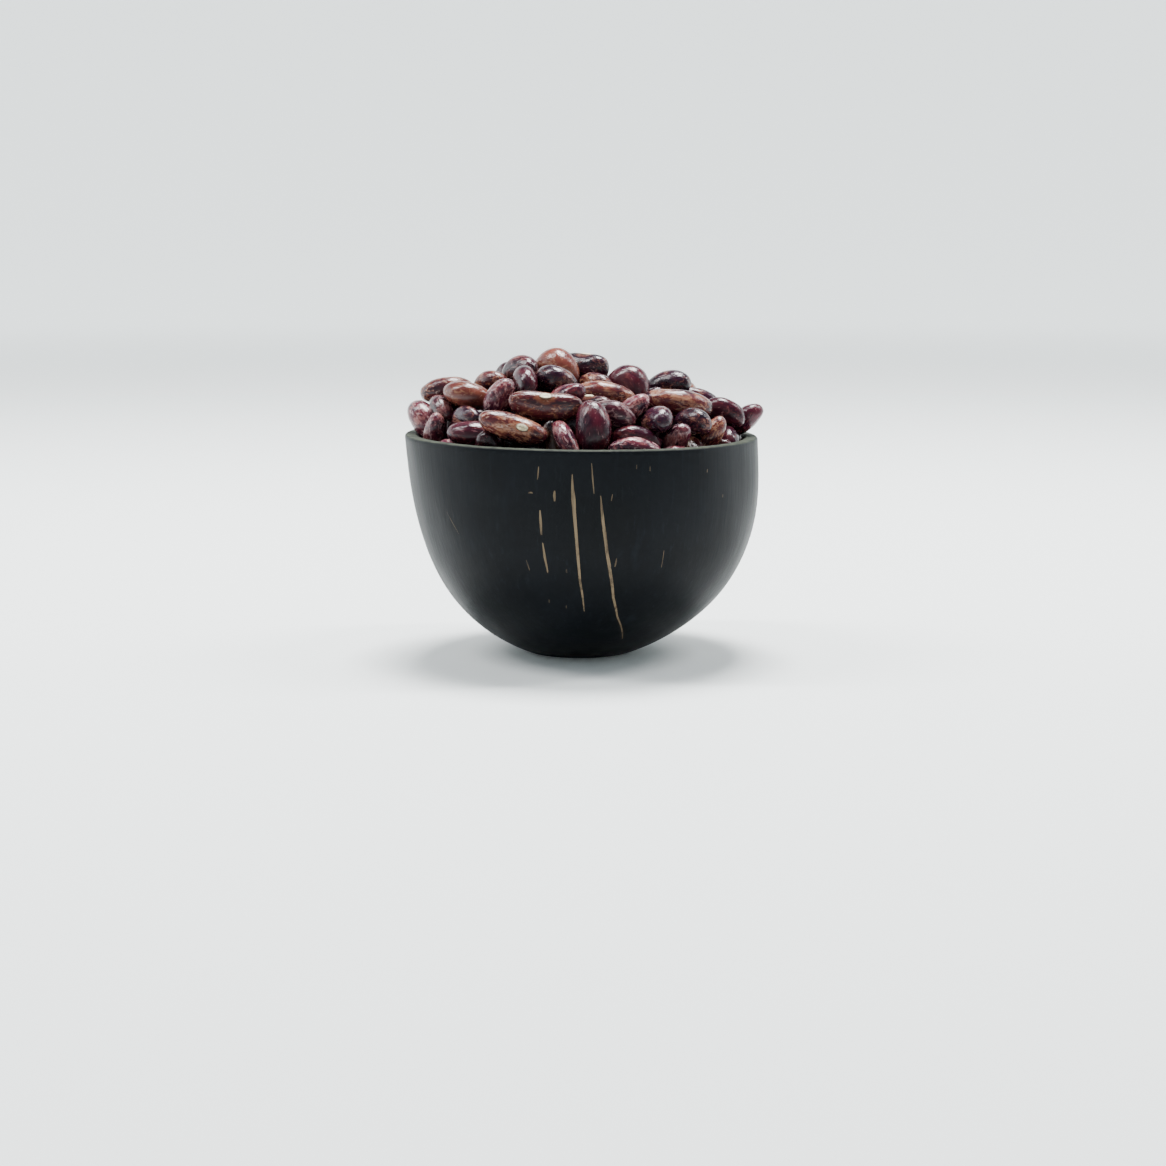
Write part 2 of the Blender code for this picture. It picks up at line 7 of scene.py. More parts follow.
import json
import logging
import math
from dataclasses import dataclass, field
from enum import Enum
from typing import Iterable, Sequence

import bmesh
import bpy
import numpy as np
from mathutils import Matrix, Vector

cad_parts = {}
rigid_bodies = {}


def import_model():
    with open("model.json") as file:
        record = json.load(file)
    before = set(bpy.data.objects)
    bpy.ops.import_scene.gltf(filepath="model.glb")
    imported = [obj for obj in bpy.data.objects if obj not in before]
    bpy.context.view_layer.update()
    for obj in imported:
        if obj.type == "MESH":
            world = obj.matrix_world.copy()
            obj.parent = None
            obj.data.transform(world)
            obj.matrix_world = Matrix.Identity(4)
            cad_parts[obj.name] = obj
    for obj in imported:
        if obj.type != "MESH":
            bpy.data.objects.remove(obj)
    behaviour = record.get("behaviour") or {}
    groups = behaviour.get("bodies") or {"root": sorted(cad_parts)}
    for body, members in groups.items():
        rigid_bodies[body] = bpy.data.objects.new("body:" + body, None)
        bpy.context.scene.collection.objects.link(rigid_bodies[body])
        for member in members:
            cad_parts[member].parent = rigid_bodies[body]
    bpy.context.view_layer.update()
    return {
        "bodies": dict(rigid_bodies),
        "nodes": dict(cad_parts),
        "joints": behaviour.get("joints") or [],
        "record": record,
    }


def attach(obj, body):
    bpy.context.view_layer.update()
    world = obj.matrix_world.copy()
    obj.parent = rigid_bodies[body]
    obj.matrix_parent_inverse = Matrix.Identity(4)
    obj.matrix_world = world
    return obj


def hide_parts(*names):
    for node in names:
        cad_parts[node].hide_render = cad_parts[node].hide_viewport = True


LOG = logging.getLogger("bowl of beans")
MM = 0.001
SMALL = 1e-6
TINY = 1e-9
LEAST_WEIGHT = 1e-12

Pair = tuple[float, float]
Triple = tuple[float, float, float]
Faces = list[tuple[int, ...]]
Inputs = dict[str | int, object]
Array = np.ndarray
Numbers = np.ndarray | float
Socket = bpy.types.NodeSocket
Thing = bpy.types.Object


# The beans that are listed one by one


class BeanKind(Enum):
    """The looks that the beans of this one mixed heap come in."""

    PLUM = "plum_beans"
    MAROON = "maroon_beans"
    SPECKLED = "speckled_beans"
    MOTTLED = "mottled_beans"
    TAN = "tan_beans"


PLUM, MAROON, SPECKLED, MOTTLED, TAN = BeanKind


@dataclass(frozen=True)
class FrontBean:
    """One listed bean, as seen from the view point on the upright plane through the bowl's middle.

    across and up place its middle, back is how far it lies behind that plane, and length is from tip to tip.
    turn is its slope as seen, tip how far it points at the viewer, roll where its scar is, plump its girth,
    and tone how pale its skin is drawn for its kind; for some beans a darker tone is painted shade where they
    lie in shadow. scar_along is how far its scar sits off its middle.
    """

    across: float
    up: float
    back: float
    length: float
    turn: float
    tip: float
    roll: float
    plump: float
    kind: BeanKind
    tone: float
    scar_along: float = 0.0


# The tone, the tenth number, is partly painted shade: some beans are drawn darker where they lie in shadow.
FRONT_BEANS = (
    FrontBean(-37.8, 73.1, 4, 15.2, 8, 10, 200, 1.04, MOTTLED, 0.3),
    FrontBean(-32.8, 71.3, -9, 15.2, 5, 30, 210, 1.06, TAN, -0.6),
    FrontBean(-38.7, 68.8, -7, 13.0, -58, 64, 160, 0.84, SPECKLED, -0.9),
    FrontBean(-44.3, 63.6, 0, 15.5, -68, 25, 150, 1.18, SPECKLED, 0.2),
    FrontBean(-41.4, 61.4, -10, 12.5, 72, 45, 160, 0.90, SPECKLED, 0.3),
    FrontBean(-32.3, 65.4, -18, 13.0, 0, 60, 250, 0.80, PLUM, 0.2),
    FrontBean(-30.6, 61.1, -26, 14.5, -2, 15, 170, 0.98, MAROON, -0.4),
    FrontBean(-34.8, 56.3, -22, 12.5, -20, 30, 200, 0.85, SPECKLED, 0.5),
    FrontBean(-19.4, 62.7, -34, 19.0, -17, 6, 12, 1.00, MOTTLED, 0.4, 2.6),
    FrontBean(-10.3, 68.8, -28, 20.0, -4, 5, 45, 1.02, MOTTLED, -0.2),
    FrontBean(-4.6, 59.4, -37, 13.5, -60, 35, 170, 0.80, SPECKLED, 0.0),
    FrontBean(2.3, 62.0, -35, 16.0, 86, -20, 110, 1.24, MAROON, -0.6),
    FrontBean(-4.4, 71.3, -19, 13.0, 20, 48, 200, 0.92, MAROON, 0.6),
    FrontBean(-11.4, 72.0, -12, 12.0, -12, 40, 200, 0.80, TAN, -0.2),
    FrontBean(-8.0, 75.0, -11, 13.5, -4, 35, 200, 1.14, PLUM, -0.2),
    FrontBean(-7.8, 78.6, 0, 15.5, -12, 32, 245, 1.34, TAN, 0.0),
    FrontBean(0.8, 78.9, 4, 14.5, -5, 28, 75, 1.22, PLUM, 0.1),
    FrontBean(-16.6, 78.6, 3, 13.5, 12, 40, 230, 1.02, SPECKLED, -0.9),
    FrontBean(-15.3, 75.0, -9, 14.0, 115, -50, 190, 0.92, MAROON, -0.7),
    FrontBean(-23.3, 70.9, -17, 13.5, 62, 48, 200, 1.06, SPECKLED, 0.4),
    FrontBean(-25.6, 75.0, 3, 13.0, 20, 58, 230, 0.90, MOTTLED, 0.7),
    FrontBean(5.6, 71.9, -15, 17.6, -6, 8, 170, 0.92, MOTTLED, 0.6),
    FrontBean(3.5, 74.3, -5, 13.0, -5, 40, 250, 0.88, MOTTLED, 0.4),
    FrontBean(1.8, 69.1, -21, 14.0, -12, 35, 30, 0.85, PLUM, 0.1),
    FrontBean(7.9, 66.3, -27, 14.0, -5, 25, 230, 0.95, SPECKLED, -0.8),
    FrontBean(13.6, 67.0, -24, 13.0, 30, 45, 200, 0.95, SPECKLED, 0.7),
    FrontBean(20.3, 64.5, -28, 13.5, -10, 52, 240, 1.06, PLUM, 0.2),
    FrontBean(12.9, 74.4, -5, 13.5, -30, 38, 250, 1.26, MAROON, -0.3),
    FrontBean(23.8, 74.5, 3, 13.5, 8, 25, 240, 1.00, PLUM, -0.3),
    FrontBean(26.2, 69.5, -12, 19.5, -8, 6, 190, 1.02, MOTTLED, 0.4),
    FrontBean(31.0, 70.3, 2, 14.0, -12, 15, 250, 0.85, PLUM, 0.5),
    FrontBean(30.6, 64.1, -21, 13.5, -3, 48, 250, 0.95, PLUM, 0.0),
    FrontBean(38.6, 67.1, -3, 13.5, -14, 30, 230, 0.98, MAROON, -0.5),
    FrontBean(44.9, 65.0, 2, 12.5, 38, 38, 190, 0.98, MAROON, 0.2),
    FrontBean(34.3, 59.7, -19, 15.0, 48, 20, 160, 0.88, MOTTLED, 0.9),
    FrontBean(41.4, 59.1, -11, 13.0, -18, 40, 200, 0.92, MAROON, -0.6),
    FrontBean(25.9, 58.2, -31, 13.0, 78, 45, 190, 0.92, SPECKLED, -0.1),
    FrontBean(14.7, 59.2, -33, 14.0, -12, 10, 200, 0.92, MAROON, -0.1),
    FrontBean(14.8, 56.0, -38, 15.0, -6, 5, 200, 0.95, SPECKLED, 1.0),
    FrontBean(25.2, 54.6, -34, 13.5, 6, 10, 240, 0.90, SPECKLED, 0.9),
)


@dataclass(frozen=True)
class Spiral:
    """A golden spiral of places for beans, seen from above.

    seed starts its random draw, and lower is how far under the mound's surface the beans lie. Places nearer
    to the front than front stay free, and spacing is the least distance from a bean that is already there.
    """

    seed: int
    count: int
    radius: float
    lower: float
    front: float = -math.inf
    spacing: float = 0.0


# Helpers for points, faces and meshes


def unit(vector: Array) -> Array:
    """Scale each vector to a length of one."""
    return np.asarray(vector, dtype=float) / np.linalg.norm(vector, axis=-1, keepdims=True)


def ring_points(radius: float, height: float, sides: int) -> list[Triple]:
    """Set out the points of a level ring round the upright axis."""
    turns = [2.0 * math.pi * side / sides for side in range(sides)]
    return [(radius * math.cos(turn), radius * math.sin(turn), height) for turn in turns]


def ring_faces(first: int, second: int, sides: int) -> Faces:
    """Make the faces between two closed rings of points.

    Args:
        first: Number of the first point of one ring.
        second: Number of the first point of the next ring.
        sides: Points in each ring.

    Returns:
        One four-sided face for each side.
    """
    return [
        (first + side, first + (side + 1) % sides, second + (side + 1) % sides, second + side)
        for side in range(sides)
    ]


def tube_faces(first: int, rings: int, sides: int, start: int, end: int) -> Faces:
    """Make the faces of a row of rings that is closed by a point at each end.

    Args:
        first: Number of the first ring's first point.
        rings: How many rings there are.
        sides: Points in each ring.
        start: Number of the point that closes the first ring.
        end: Number of the point that closes the last ring.

    Returns:
        The faces.
    """
    faces: Faces = []
    for ring in range(rings - 1):
        faces.extend(ring_faces(first + ring * sides, first + (ring + 1) * sides, sides))
    last = first + (rings - 1) * sides
    for side in range(sides):
        following = (side + 1) % sides
        faces.append((start, first + following, first + side))
        faces.append((end, last + side, last + following))
    return faces


def add_object(name: str, data: bpy.types.ID) -> Thing:
    """Make an object from its data and link it to the scene.

    Args:
        name: The object's name.
        data: Its mesh, light or camera.

    Returns:
        The new object.
    """
    thing = bpy.data.objects.new(name, data)
    bpy.context.scene.collection.objects.link(thing)
    return thing


def add_values(mesh: bpy.types.Mesh, name: str, values: Iterable) -> None:
    """Give each point of a mesh a number or a vector of its own.

    Args:
        mesh: The mesh.
        name: The attribute's name.
        values: A number or a row of three for each point.
    """
    values = np.array(values, dtype=float)
    kind, part = ("FLOAT", "value") if values.ndim == 1 else ("FLOAT_VECTOR", "vector")
    mesh.attributes.new(name, kind, "POINT").data.foreach_set(part, values.ravel())


def add_mesh(name: str, points: Iterable[Sequence[float]], faces: Faces) -> Thing:
    """Make a mesh object at the origin, with its faces turned outwards.

    Args:
        name: The object's name.
        points: Places in millimetres.
        faces: Point numbers of each face.

    Returns:
        The new object, shaded smooth and linked to the scene.
    """
    mesh = bpy.data.meshes.new(name)
    mesh.from_pydata([tuple(float(value) * MM for value in point) for point in points], [], faces)
    work = bmesh.new()
    work.from_mesh(mesh)
    bmesh.ops.recalc_face_normals(work, faces=work.faces)
    if work.calc_volume(signed=True) < 0.0:
        bmesh.ops.reverse_faces(work, faces=work.faces)
    work.to_mesh(mesh)
    work.free()
    mesh.shade_smooth()
    return add_object(name, mesh)


# The shell's form and how the beans lie in it


@dataclass(frozen=True)
class Nut:
    """The coconut that the bowl is cut from: its sizes, and where its wall is."""

    rim_radius: float = 49.0
    height: float = 60.7
    wall: float = 3.6
    floor: float = 3.0
    waist: float = 70.0
    tip: float = -2.9
    lengthwise: float = 3.33
    crosswise: float = 1.71
    sway: float = 1.6
    rim_lean: float = 0.35
    rim_fall: float = 0.009
    rings: int = 12
    edge_round: float = 0.6
    outside_spacing: float = 1.25
    inside_spacing: float = 1.8

    def radius(self, height: Numbers, widest: float, tip: float) -> Array:
        """Radius of a nut that is this wide at its waist and comes to a point at this tip."""
        share = np.clip((self.waist - height) / (self.waist - tip), 0.0, 1.0)
        return widest * (1.0 - share**self.lengthwise) ** (1.0 / self.crosswise)

    def outer_radius(self, height: Numbers) -> Array:
        """Radius of the outside at a height."""
        return self.radius(height, self.rim_radius, self.tip)

    def inner_radius(self, height: Numbers) -> Array:
        """Radius of the inside at a height."""
        return self.radius(height, self.rim_radius - self.wall, self.floor)

    def lean(self, height: Numbers) -> Array:
        """How far the shell's middle is carried sideways at a height, because no nut is quite straight."""
        share = np.clip(height / self.height, 0.0, 1.0)
        return self.sway * np.sin(np.pi * share) + self.rim_lean * share

    def lean_points(self, points: Array) -> Array:
        """Carry upright points along with the leaning shell, and lower the rim on its right side.

        Args:
            points: Places in an upright shell.

        Returns:
            Their places in the leaning one.
        """
        moved = np.array(points, dtype=float)
        share = np.clip(moved[:, 2] / self.height, 0.0, 1.0)
        moved[:, 0] += self.lean(moved[:, 2])
        moved[:, 2] -= self.rim_fall * moved[:, 0] * share**2
        return moved

    def straighten_points(self, points: Array) -> Array:
        """Go back from a place in the leaning shell to its place in an upright one.

        Args:
            points: Places in the leaning shell.

        Returns:
            Their places in an upright one.
        """
        moved = np.array(points, dtype=float)
        share = np.clip(moved[..., 2] / self.height, 0.0, 1.0)
        moved[..., 2] += self.rim_fall * moved[..., 0] * share**2
        moved[..., 0] -= self.lean(moved[..., 2])
        return moved

    def wall_outline(self) -> Array:
        """Cut the wall through on one side, as the part's own source does, for measuring distances.

        Returns:
            Radius and height of each point, from the foot up and then down the inside.
        """
        top = self.height - self.edge_round
        shares = np.linspace(0.0, 1.0, self.rings)
        outer = shares**self.outside_spacing * top
        inner = self.floor + (1.0 - shares) ** self.inside_spacing * (top - self.floor)
        outline = [(self.outer_radius(height), height) for height in outer]
        outline.append((self.outer_radius(self.height) - self.edge_round, self.height))
        outline.append((self.inner_radius(self.height) + self.edge_round, self.height))
        outline.extend((self.inner_radius(height), height) for height in inner[:-1])
        return np.array(outline)

    def wall_distance(self, points: Array) -> tuple[Array, Array]:
        """Measure how far points are from the shell's wall.

        Args:
            points: Places in the leaning shell.

        Returns:
            The distance of each point, and the direction that leads away from the wall.
        """
        straight = self.straighten_points(points)
        radius = np.maximum(np.hypot(straight[:, 0], straight[:, 1]), SMALL)
        spot = np.stack([radius, straight[:, 2]], axis=1)
        outline = np.vstack([[0.0, 0.0], self.wall_outline(), [0.0, self.floor]])
        start = outline[:-1]
        run = outline[1:] - start
        along = np.einsum("nsk,sk->ns", spot[:, None] - start[None], run) / np.sum(run * run, axis=1)
        near = start[None] + np.clip(along, 0.0, 1.0)[..., None] * run[None]
        off = spot[:, None] - near
        gap = np.linalg.norm(off, axis=2)
        best = np.argmin(gap, axis=1)
        rows = np.arange(len(spot))
        off = off[rows, best]
        gap = gap[rows, best]
        low = spot[:, 1] < self.height
        within = low & (radius > self.inner_radius(spot[:, 1])) & (radius < self.outer_radius(spot[:, 1]))
        gap = np.where(within, -gap, gap)
        way = off / np.where(np.abs(gap) < TINY, TINY, gap)[:, None]
        outward = straight[:, :2] / radius[:, None]
        return gap, np.stack([outward[:, 0] * way[:, 0], outward[:, 1] * way[:, 0], way[:, 1]], axis=1)


@dataclass
class BeanSet:
    """Beans as arrays: the middle, the axes (length, scar and thickness as columns) and the sizes of each."""

    middles: Array
    frames: Array
    sizes: Array

    @classmethod
    def gathered(cls, rows: list[tuple[Array, ...]]) -> "BeanSet":
        """Make a set from the middle, the lengthwise axis, the scar's axis and the sizes of each bean."""
        middles, longs, scars, sizes = (np.array(part) for part in zip(*rows))
        return cls(middles, np.stack([longs, scars, np.cross(longs, scars)], axis=2), sizes)

    def joined(self, other: "BeanSet") -> "BeanSet":
        """Put another set behind this one."""
        pairs = ((self.middles, other.middles), (self.frames, other.frames), (self.sizes, other.sizes))
        return BeanSet(*(np.vstack(pair) for pair in pairs))

    def picked(self, chosen: Array) -> "BeanSet":
        """Keep only the chosen beans."""
        return BeanSet(self.middles[chosen], self.frames[chosen], self.sizes[chosen])


@dataclass(frozen=True)
class Heap:
    """How the beans lie: the top layer that shows, and a second layer that closes the gaps in it."""

    nut: Nut = Nut()
    view_point: Triple = (0.9, -648.0, 118.0)
    crest_across: tuple[float, ...] = (
        -46.0, -38.0, -30.0, -24.0, -17.0, -8.0, 2.0, 8.0, 16.0, 25.0, 31.0, 39.0, 46.0,
    )
    crest_height: tuple[float, ...] = (
        66.0, 72.5, 72.5, 75.0, 78.0, 80.0, 79.5, 75.0, 72.5, 74.0, 69.0, 67.0, 65.0,
    )
    radius: float = 43.5
    edge: float = 59.0
    flatness: float = 2.2
    least_reach: float = 9.5
    fall_limit: float = 1.3
    clearance: float = 0.45
    bean_width: float = 5.7
    bean_width_per_length: float = 0.165
    bean_flatness: float = 0.83
    bean_bend: float = 0.075
    bend_level: float = 0.35
    tip_ball: float = 0.30
    side_ball: float = 0.485
    side_ball_along: float = 0.13
    side_ball_across: float = 0.48
    ball_gap: float = 0.1
    fill: Spiral = Spiral(seed=11, count=128, radius=43.5, lower=1.5, front=-3.0, spacing=7.4)
    fill_lengths: Pair = (13.0, 18.0)
    fill_girths: Pair = (0.9, 1.08)
    fill_roll_spread: float = 0.6
    fill_tip_spread: float = 0.28
    fill_rise: float = 0.3
    slope_step: float = 0.15
    ease_rounds: int = 320
    pair_rounds: int = 8
    pair_margin: float = 2.0
    push_share: float = 0.5
    hold_share: float = 0.6
    hold_as_seen: float = 0.10
    hold_in_depth: float = 0.015
    hold_fill: float = 0.02
    sink: float = 0.03
    under: Spiral = Spiral(seed=23, count=175, radius=42.0, lower=6.4)
    under_rounds: int = 150
    under_least_depth: float = 3.6
    under_front: float = -12.0
    under_front_least_depth: float = 6.4

    def height_at(self, across: Numbers, deep: Numbers) -> Array:
        """Find the height of the layer of bean middles.

        Args:
            across: Places to the right of the bowl's middle.
            deep: How far they lie behind it.

        Returns:
            The height at each place.
        """
        crest = np.interp(across - self.view_point[0], self.crest_across, self.crest_height)
        reach = np.sqrt(np.maximum(self.radius**2 - np.asarray(across) ** 2, self.least_reach**2))
        share = np.minimum(np.abs(deep) / reach, self.fall_limit)
        return self.edge + (crest - self.edge) * (1.0 - share**self.flatness)

    def bean_sizes(self, length: float, plump: float) -> Array:
        """Length, width and thickness of a bean: a long one is hardly wider than a short one."""
        width = (self.bean_width + self.bean_width_per_length * length) * plump
        return np.array([length, width, width * self.bean_flatness])

    def place_front_bean(self, bean: FrontBean) -> tuple[Array, ...]:
        """Work out where a front bean lies from how it is seen.

        Args:
            bean: The bean as seen.

        Returns:
            Its middle, its lengthwise axis, its scar's axis and its sizes.
        """
        eye = np.array(self.view_point)
        sight = np.array([eye[0] + bean.across, 0.0, bean.up]) - eye
        middle = eye + sight * (bean.back - eye[1]) / (0.0 - eye[1])
        toward = unit(-sight)
        right = unit(np.cross([0.0, 0.0, 1.0], toward))
        top = np.cross(toward, right)
        turn, tip, roll = (math.radians(angle) for angle in (bean.turn, bean.tip, bean.roll))
        flat = math.cos(turn) * right + math.sin(turn) * top
        long = math.cos(tip) * flat + math.sin(tip) * toward
        front = unit(toward - np.dot(toward, long) * long)
        scar = math.cos(roll) * front + math.sin(roll) * np.cross(front, long)
        return middle, long, scar, self.bean_sizes(bean.length, bean.plump)

    def spread_beans(self, spiral: Spiral, taken: Array) -> BeanSet:
        """Set beans out along a spiral over the mound, each turned its own way.

        Args:
            spiral: The places.
            taken: Middles of the beans that are already there.

        Returns:
            The beans that found a place.
        """
        draw = np.random.default_rng(spiral.seed)
        golden_turn = math.pi * (3.0 - math.sqrt(5.0))
        step = self.slope_step
        rows = []
        for place in range(spiral.count):
            away = spiral.radius * math.sqrt((place + 0.5) / spiral.count)
            across = away * math.cos(place * golden_turn)
            deep = away * math.sin(place * golden_turn)
            middle = np.array([across, deep, float(self.height_at(across, deep)) - spiral.lower])
            turn = draw.uniform(0.0, 2.0 * math.pi)
            roll = draw.normal(math.pi / 2.0, self.fill_roll_spread)
            tip = draw.normal(0.0, self.fill_tip_spread)
            sizes = self.bean_sizes(draw.uniform(*self.fill_lengths), draw.uniform(*self.fill_girths))
            if deep < spiral.front or min(np.linalg.norm(taken - middle, axis=1)) < spiral.spacing:
                continue
            rise_x = float(self.height_at(across + step, deep) - self.height_at(across - step, deep))
            rise_y = float(self.height_at(across, deep + step) - self.height_at(across, deep - step))
            normal = unit(np.array([-rise_x, -rise_y, 2.0 * step]))
            flat = unit(np.cross(normal, [math.cos(turn), math.sin(turn), self.fill_rise]))
            long = math.cos(tip) * flat + math.sin(tip) * normal
            level = unit(np.cross(long, normal))
            scar = math.sin(roll) * level + math.cos(roll) * np.cross(level, long)
            rows.append((middle, long, scar, sizes))
        return BeanSet.gathered(rows)

    def bean_balls(self, sizes: Array) -> tuple[Array, Array]:
        """Fill each bean with six balls.

        Args:
            sizes: Length, width and thickness of each bean.

        Returns:
            The balls' middles in each bean's own axes, and their radii.
        """
        length, width, thickness = sizes.T
        tip = self.tip_ball * width
        body = self.side_ball * thickness
        rows = []
        for end in (-1.0, 1.0):
            rows.append((end * (0.5 * length - tip), np.zeros_like(width), tip))
            for side in (-1.0, 1.0):
                aside = side * (self.side_ball_across * width - body)
                rows.append((end * self.side_ball_along * length, aside, body))
        along, aside, radii = np.array(rows).transpose(1, 2, 0)
        share = 2.0 * along / length[:, None]
        aside = aside + self.bean_bend * length[:, None] * (share**2 - self.bend_level)
        return np.stack([along, aside, np.zeros_like(along)], axis=2), radii

    def ease_apart(self, beans: BeanSet, front_count: int, fixed: int, rounds: int) -> BeanSet:
        """Move and turn the beans, each kept stiff, until they only touch each other and clear the shell.

        Args:
            beans: The beans as first laid.
            front_count: How many of them, from the first on, are held where they are seen.
            fixed: How many of them, from the first on, don't move at all.
            rounds: How many times the pushes are worked out.

        Returns:
            The beans at rest.
        """
        rest, radii = self.bean_balls(beans.sizes)
        count = len(beans.middles)
        rest_middle = rest.mean(axis=1, keepdims=True)
        frames = beans.frames
        balls = np.einsum("nij,nbj->nbi", frames, rest) + beans.middles[:, None]
        goal = balls.copy()
        sight = unit(beans.middles - np.array(self.view_point))
        is_front = np.arange(count) < front_count
        for turn in range(rounds):
            if turn % self.pair_rounds == 0:
                middles = balls.mean(axis=1)
                apart = np.linalg.norm(middles[:, None] - middles[None], axis=2)
                reach = 0.5 * (beans.sizes[:, None, 0] + beans.sizes[None, :, 0]) + self.pair_margin
                first, second = np.nonzero(np.triu(apart < reach, 1))
            shift = np.zeros_like(balls)
            off = balls[first][:, :, None] - balls[second][:, None]
            gap = np.linalg.norm(off, axis=3)
            wanted = radii[first][:, :, None] + radii[second][:, None] + self.ball_gap
            push = np.maximum(wanted - gap, 0.0)
            move = off / np.maximum(gap, SMALL)[..., None] * (0.5 * push)[..., None]
            np.add.at(shift, first, self.push_share * move.sum(axis=2))
            np.add.at(shift, second, -self.push_share * move.sum(axis=1))
            balls = balls + shift
            if turn <= rounds * self.hold_share:
                to_goal = goal - balls
                depth = np.einsum("nbk,nk->nb", to_goal, sight)[..., None] * sight[:, None]
                held = self.hold_as_seen * (to_goal - depth) + self.hold_in_depth * depth
                balls = balls + np.where(is_front[:, None, None], held, self.hold_fill * to_goal)
                balls[:, :, 2] -= self.sink
            flat = balls.reshape(-1, 3)
            distance, way = self.nut.wall_distance(flat)
            short = np.maximum(radii.reshape(-1) + self.clearance - distance, 0.0)
            balls = (flat + way * short[:, None]).reshape(count, -1, 3)
            balls[:fixed] = goal[:fixed]
            centre = balls.mean(axis=1, keepdims=True)
            spread = np.einsum("nbi,nbj->nij", balls - centre, rest - rest_middle)
            left, _, right = np.linalg.svd(spread + TINY * np.eye(3))
            left[:, :, 2] *= np.linalg.det(left @ right)[:, None]
            frames = left @ right
            balls = centre + np.einsum("nij,nbj->nbi", frames, rest - rest_middle)
        middles = centre[:, 0] - np.einsum("nij,nj->ni", frames, rest_middle[:, 0])
        return BeanSet(middles, frames, beans.sizes)

    def top_layer(self) -> BeanSet:
        """Lay out the beans that show: those at the front as listed, the others in a spiral.

        Returns:
            The beans, those at the front first.
        """
        front = BeanSet.gathered([self.place_front_bean(bean) for bean in FRONT_BEANS])
        fill = self.spread_beans(self.fill, front.middles)
        return self.ease_apart(front.joined(fill), len(FRONT_BEANS), 0, self.ease_rounds)

    def under_layer(self, top: BeanSet) -> BeanSet:
        """Lay out the second layer, which shows only through the gaps in the first.

        Args:
            top: The beans of the first layer, which don't move.

        Returns:
            The beans of the second layer.
        """
        fixed = len(top.middles)
        under = self.spread_beans(self.under, top.middles)
        eased = self.ease_apart(top.joined(under), 0, fixed, self.under_rounds)
        across, deep, height = eased.middles.T
        in_front = deep < self.under_front
        least_depth = np.where(in_front, self.under_front_least_depth, self.under_least_depth)
        hidden = height < self.height_at(across, deep) - least_depth
        hidden[:fixed] = False
        return eased.picked(np.nonzero(hidden)[0])


# Materials


@dataclass(frozen=True)
class Grain:
    """A noise field: how fine it is, how many finer layers it has, and how rough and how bent it is."""

    scale: float
    detail: float = 3.0
    rough: float = 0.55
    bent: float = 0.0


def colour(red: float, green: float, blue: float) -> tuple[float, float, float, float]:
    """Turn a colour seen on a screen, each part 0 to 255, into the linear one that a shader takes.

    Args:
        red: The red part.
        green: The green part.
        blue: The blue part.

    Returns:
        The linear colour.
    """
    shares = [value / 255.0 for value in (red, green, blue)]
    linear = [share / 12.92 if share <= 0.04045 else ((share + 0.055) / 1.055) ** 2.4 for share in shares]
    return (*linear, 1.0)


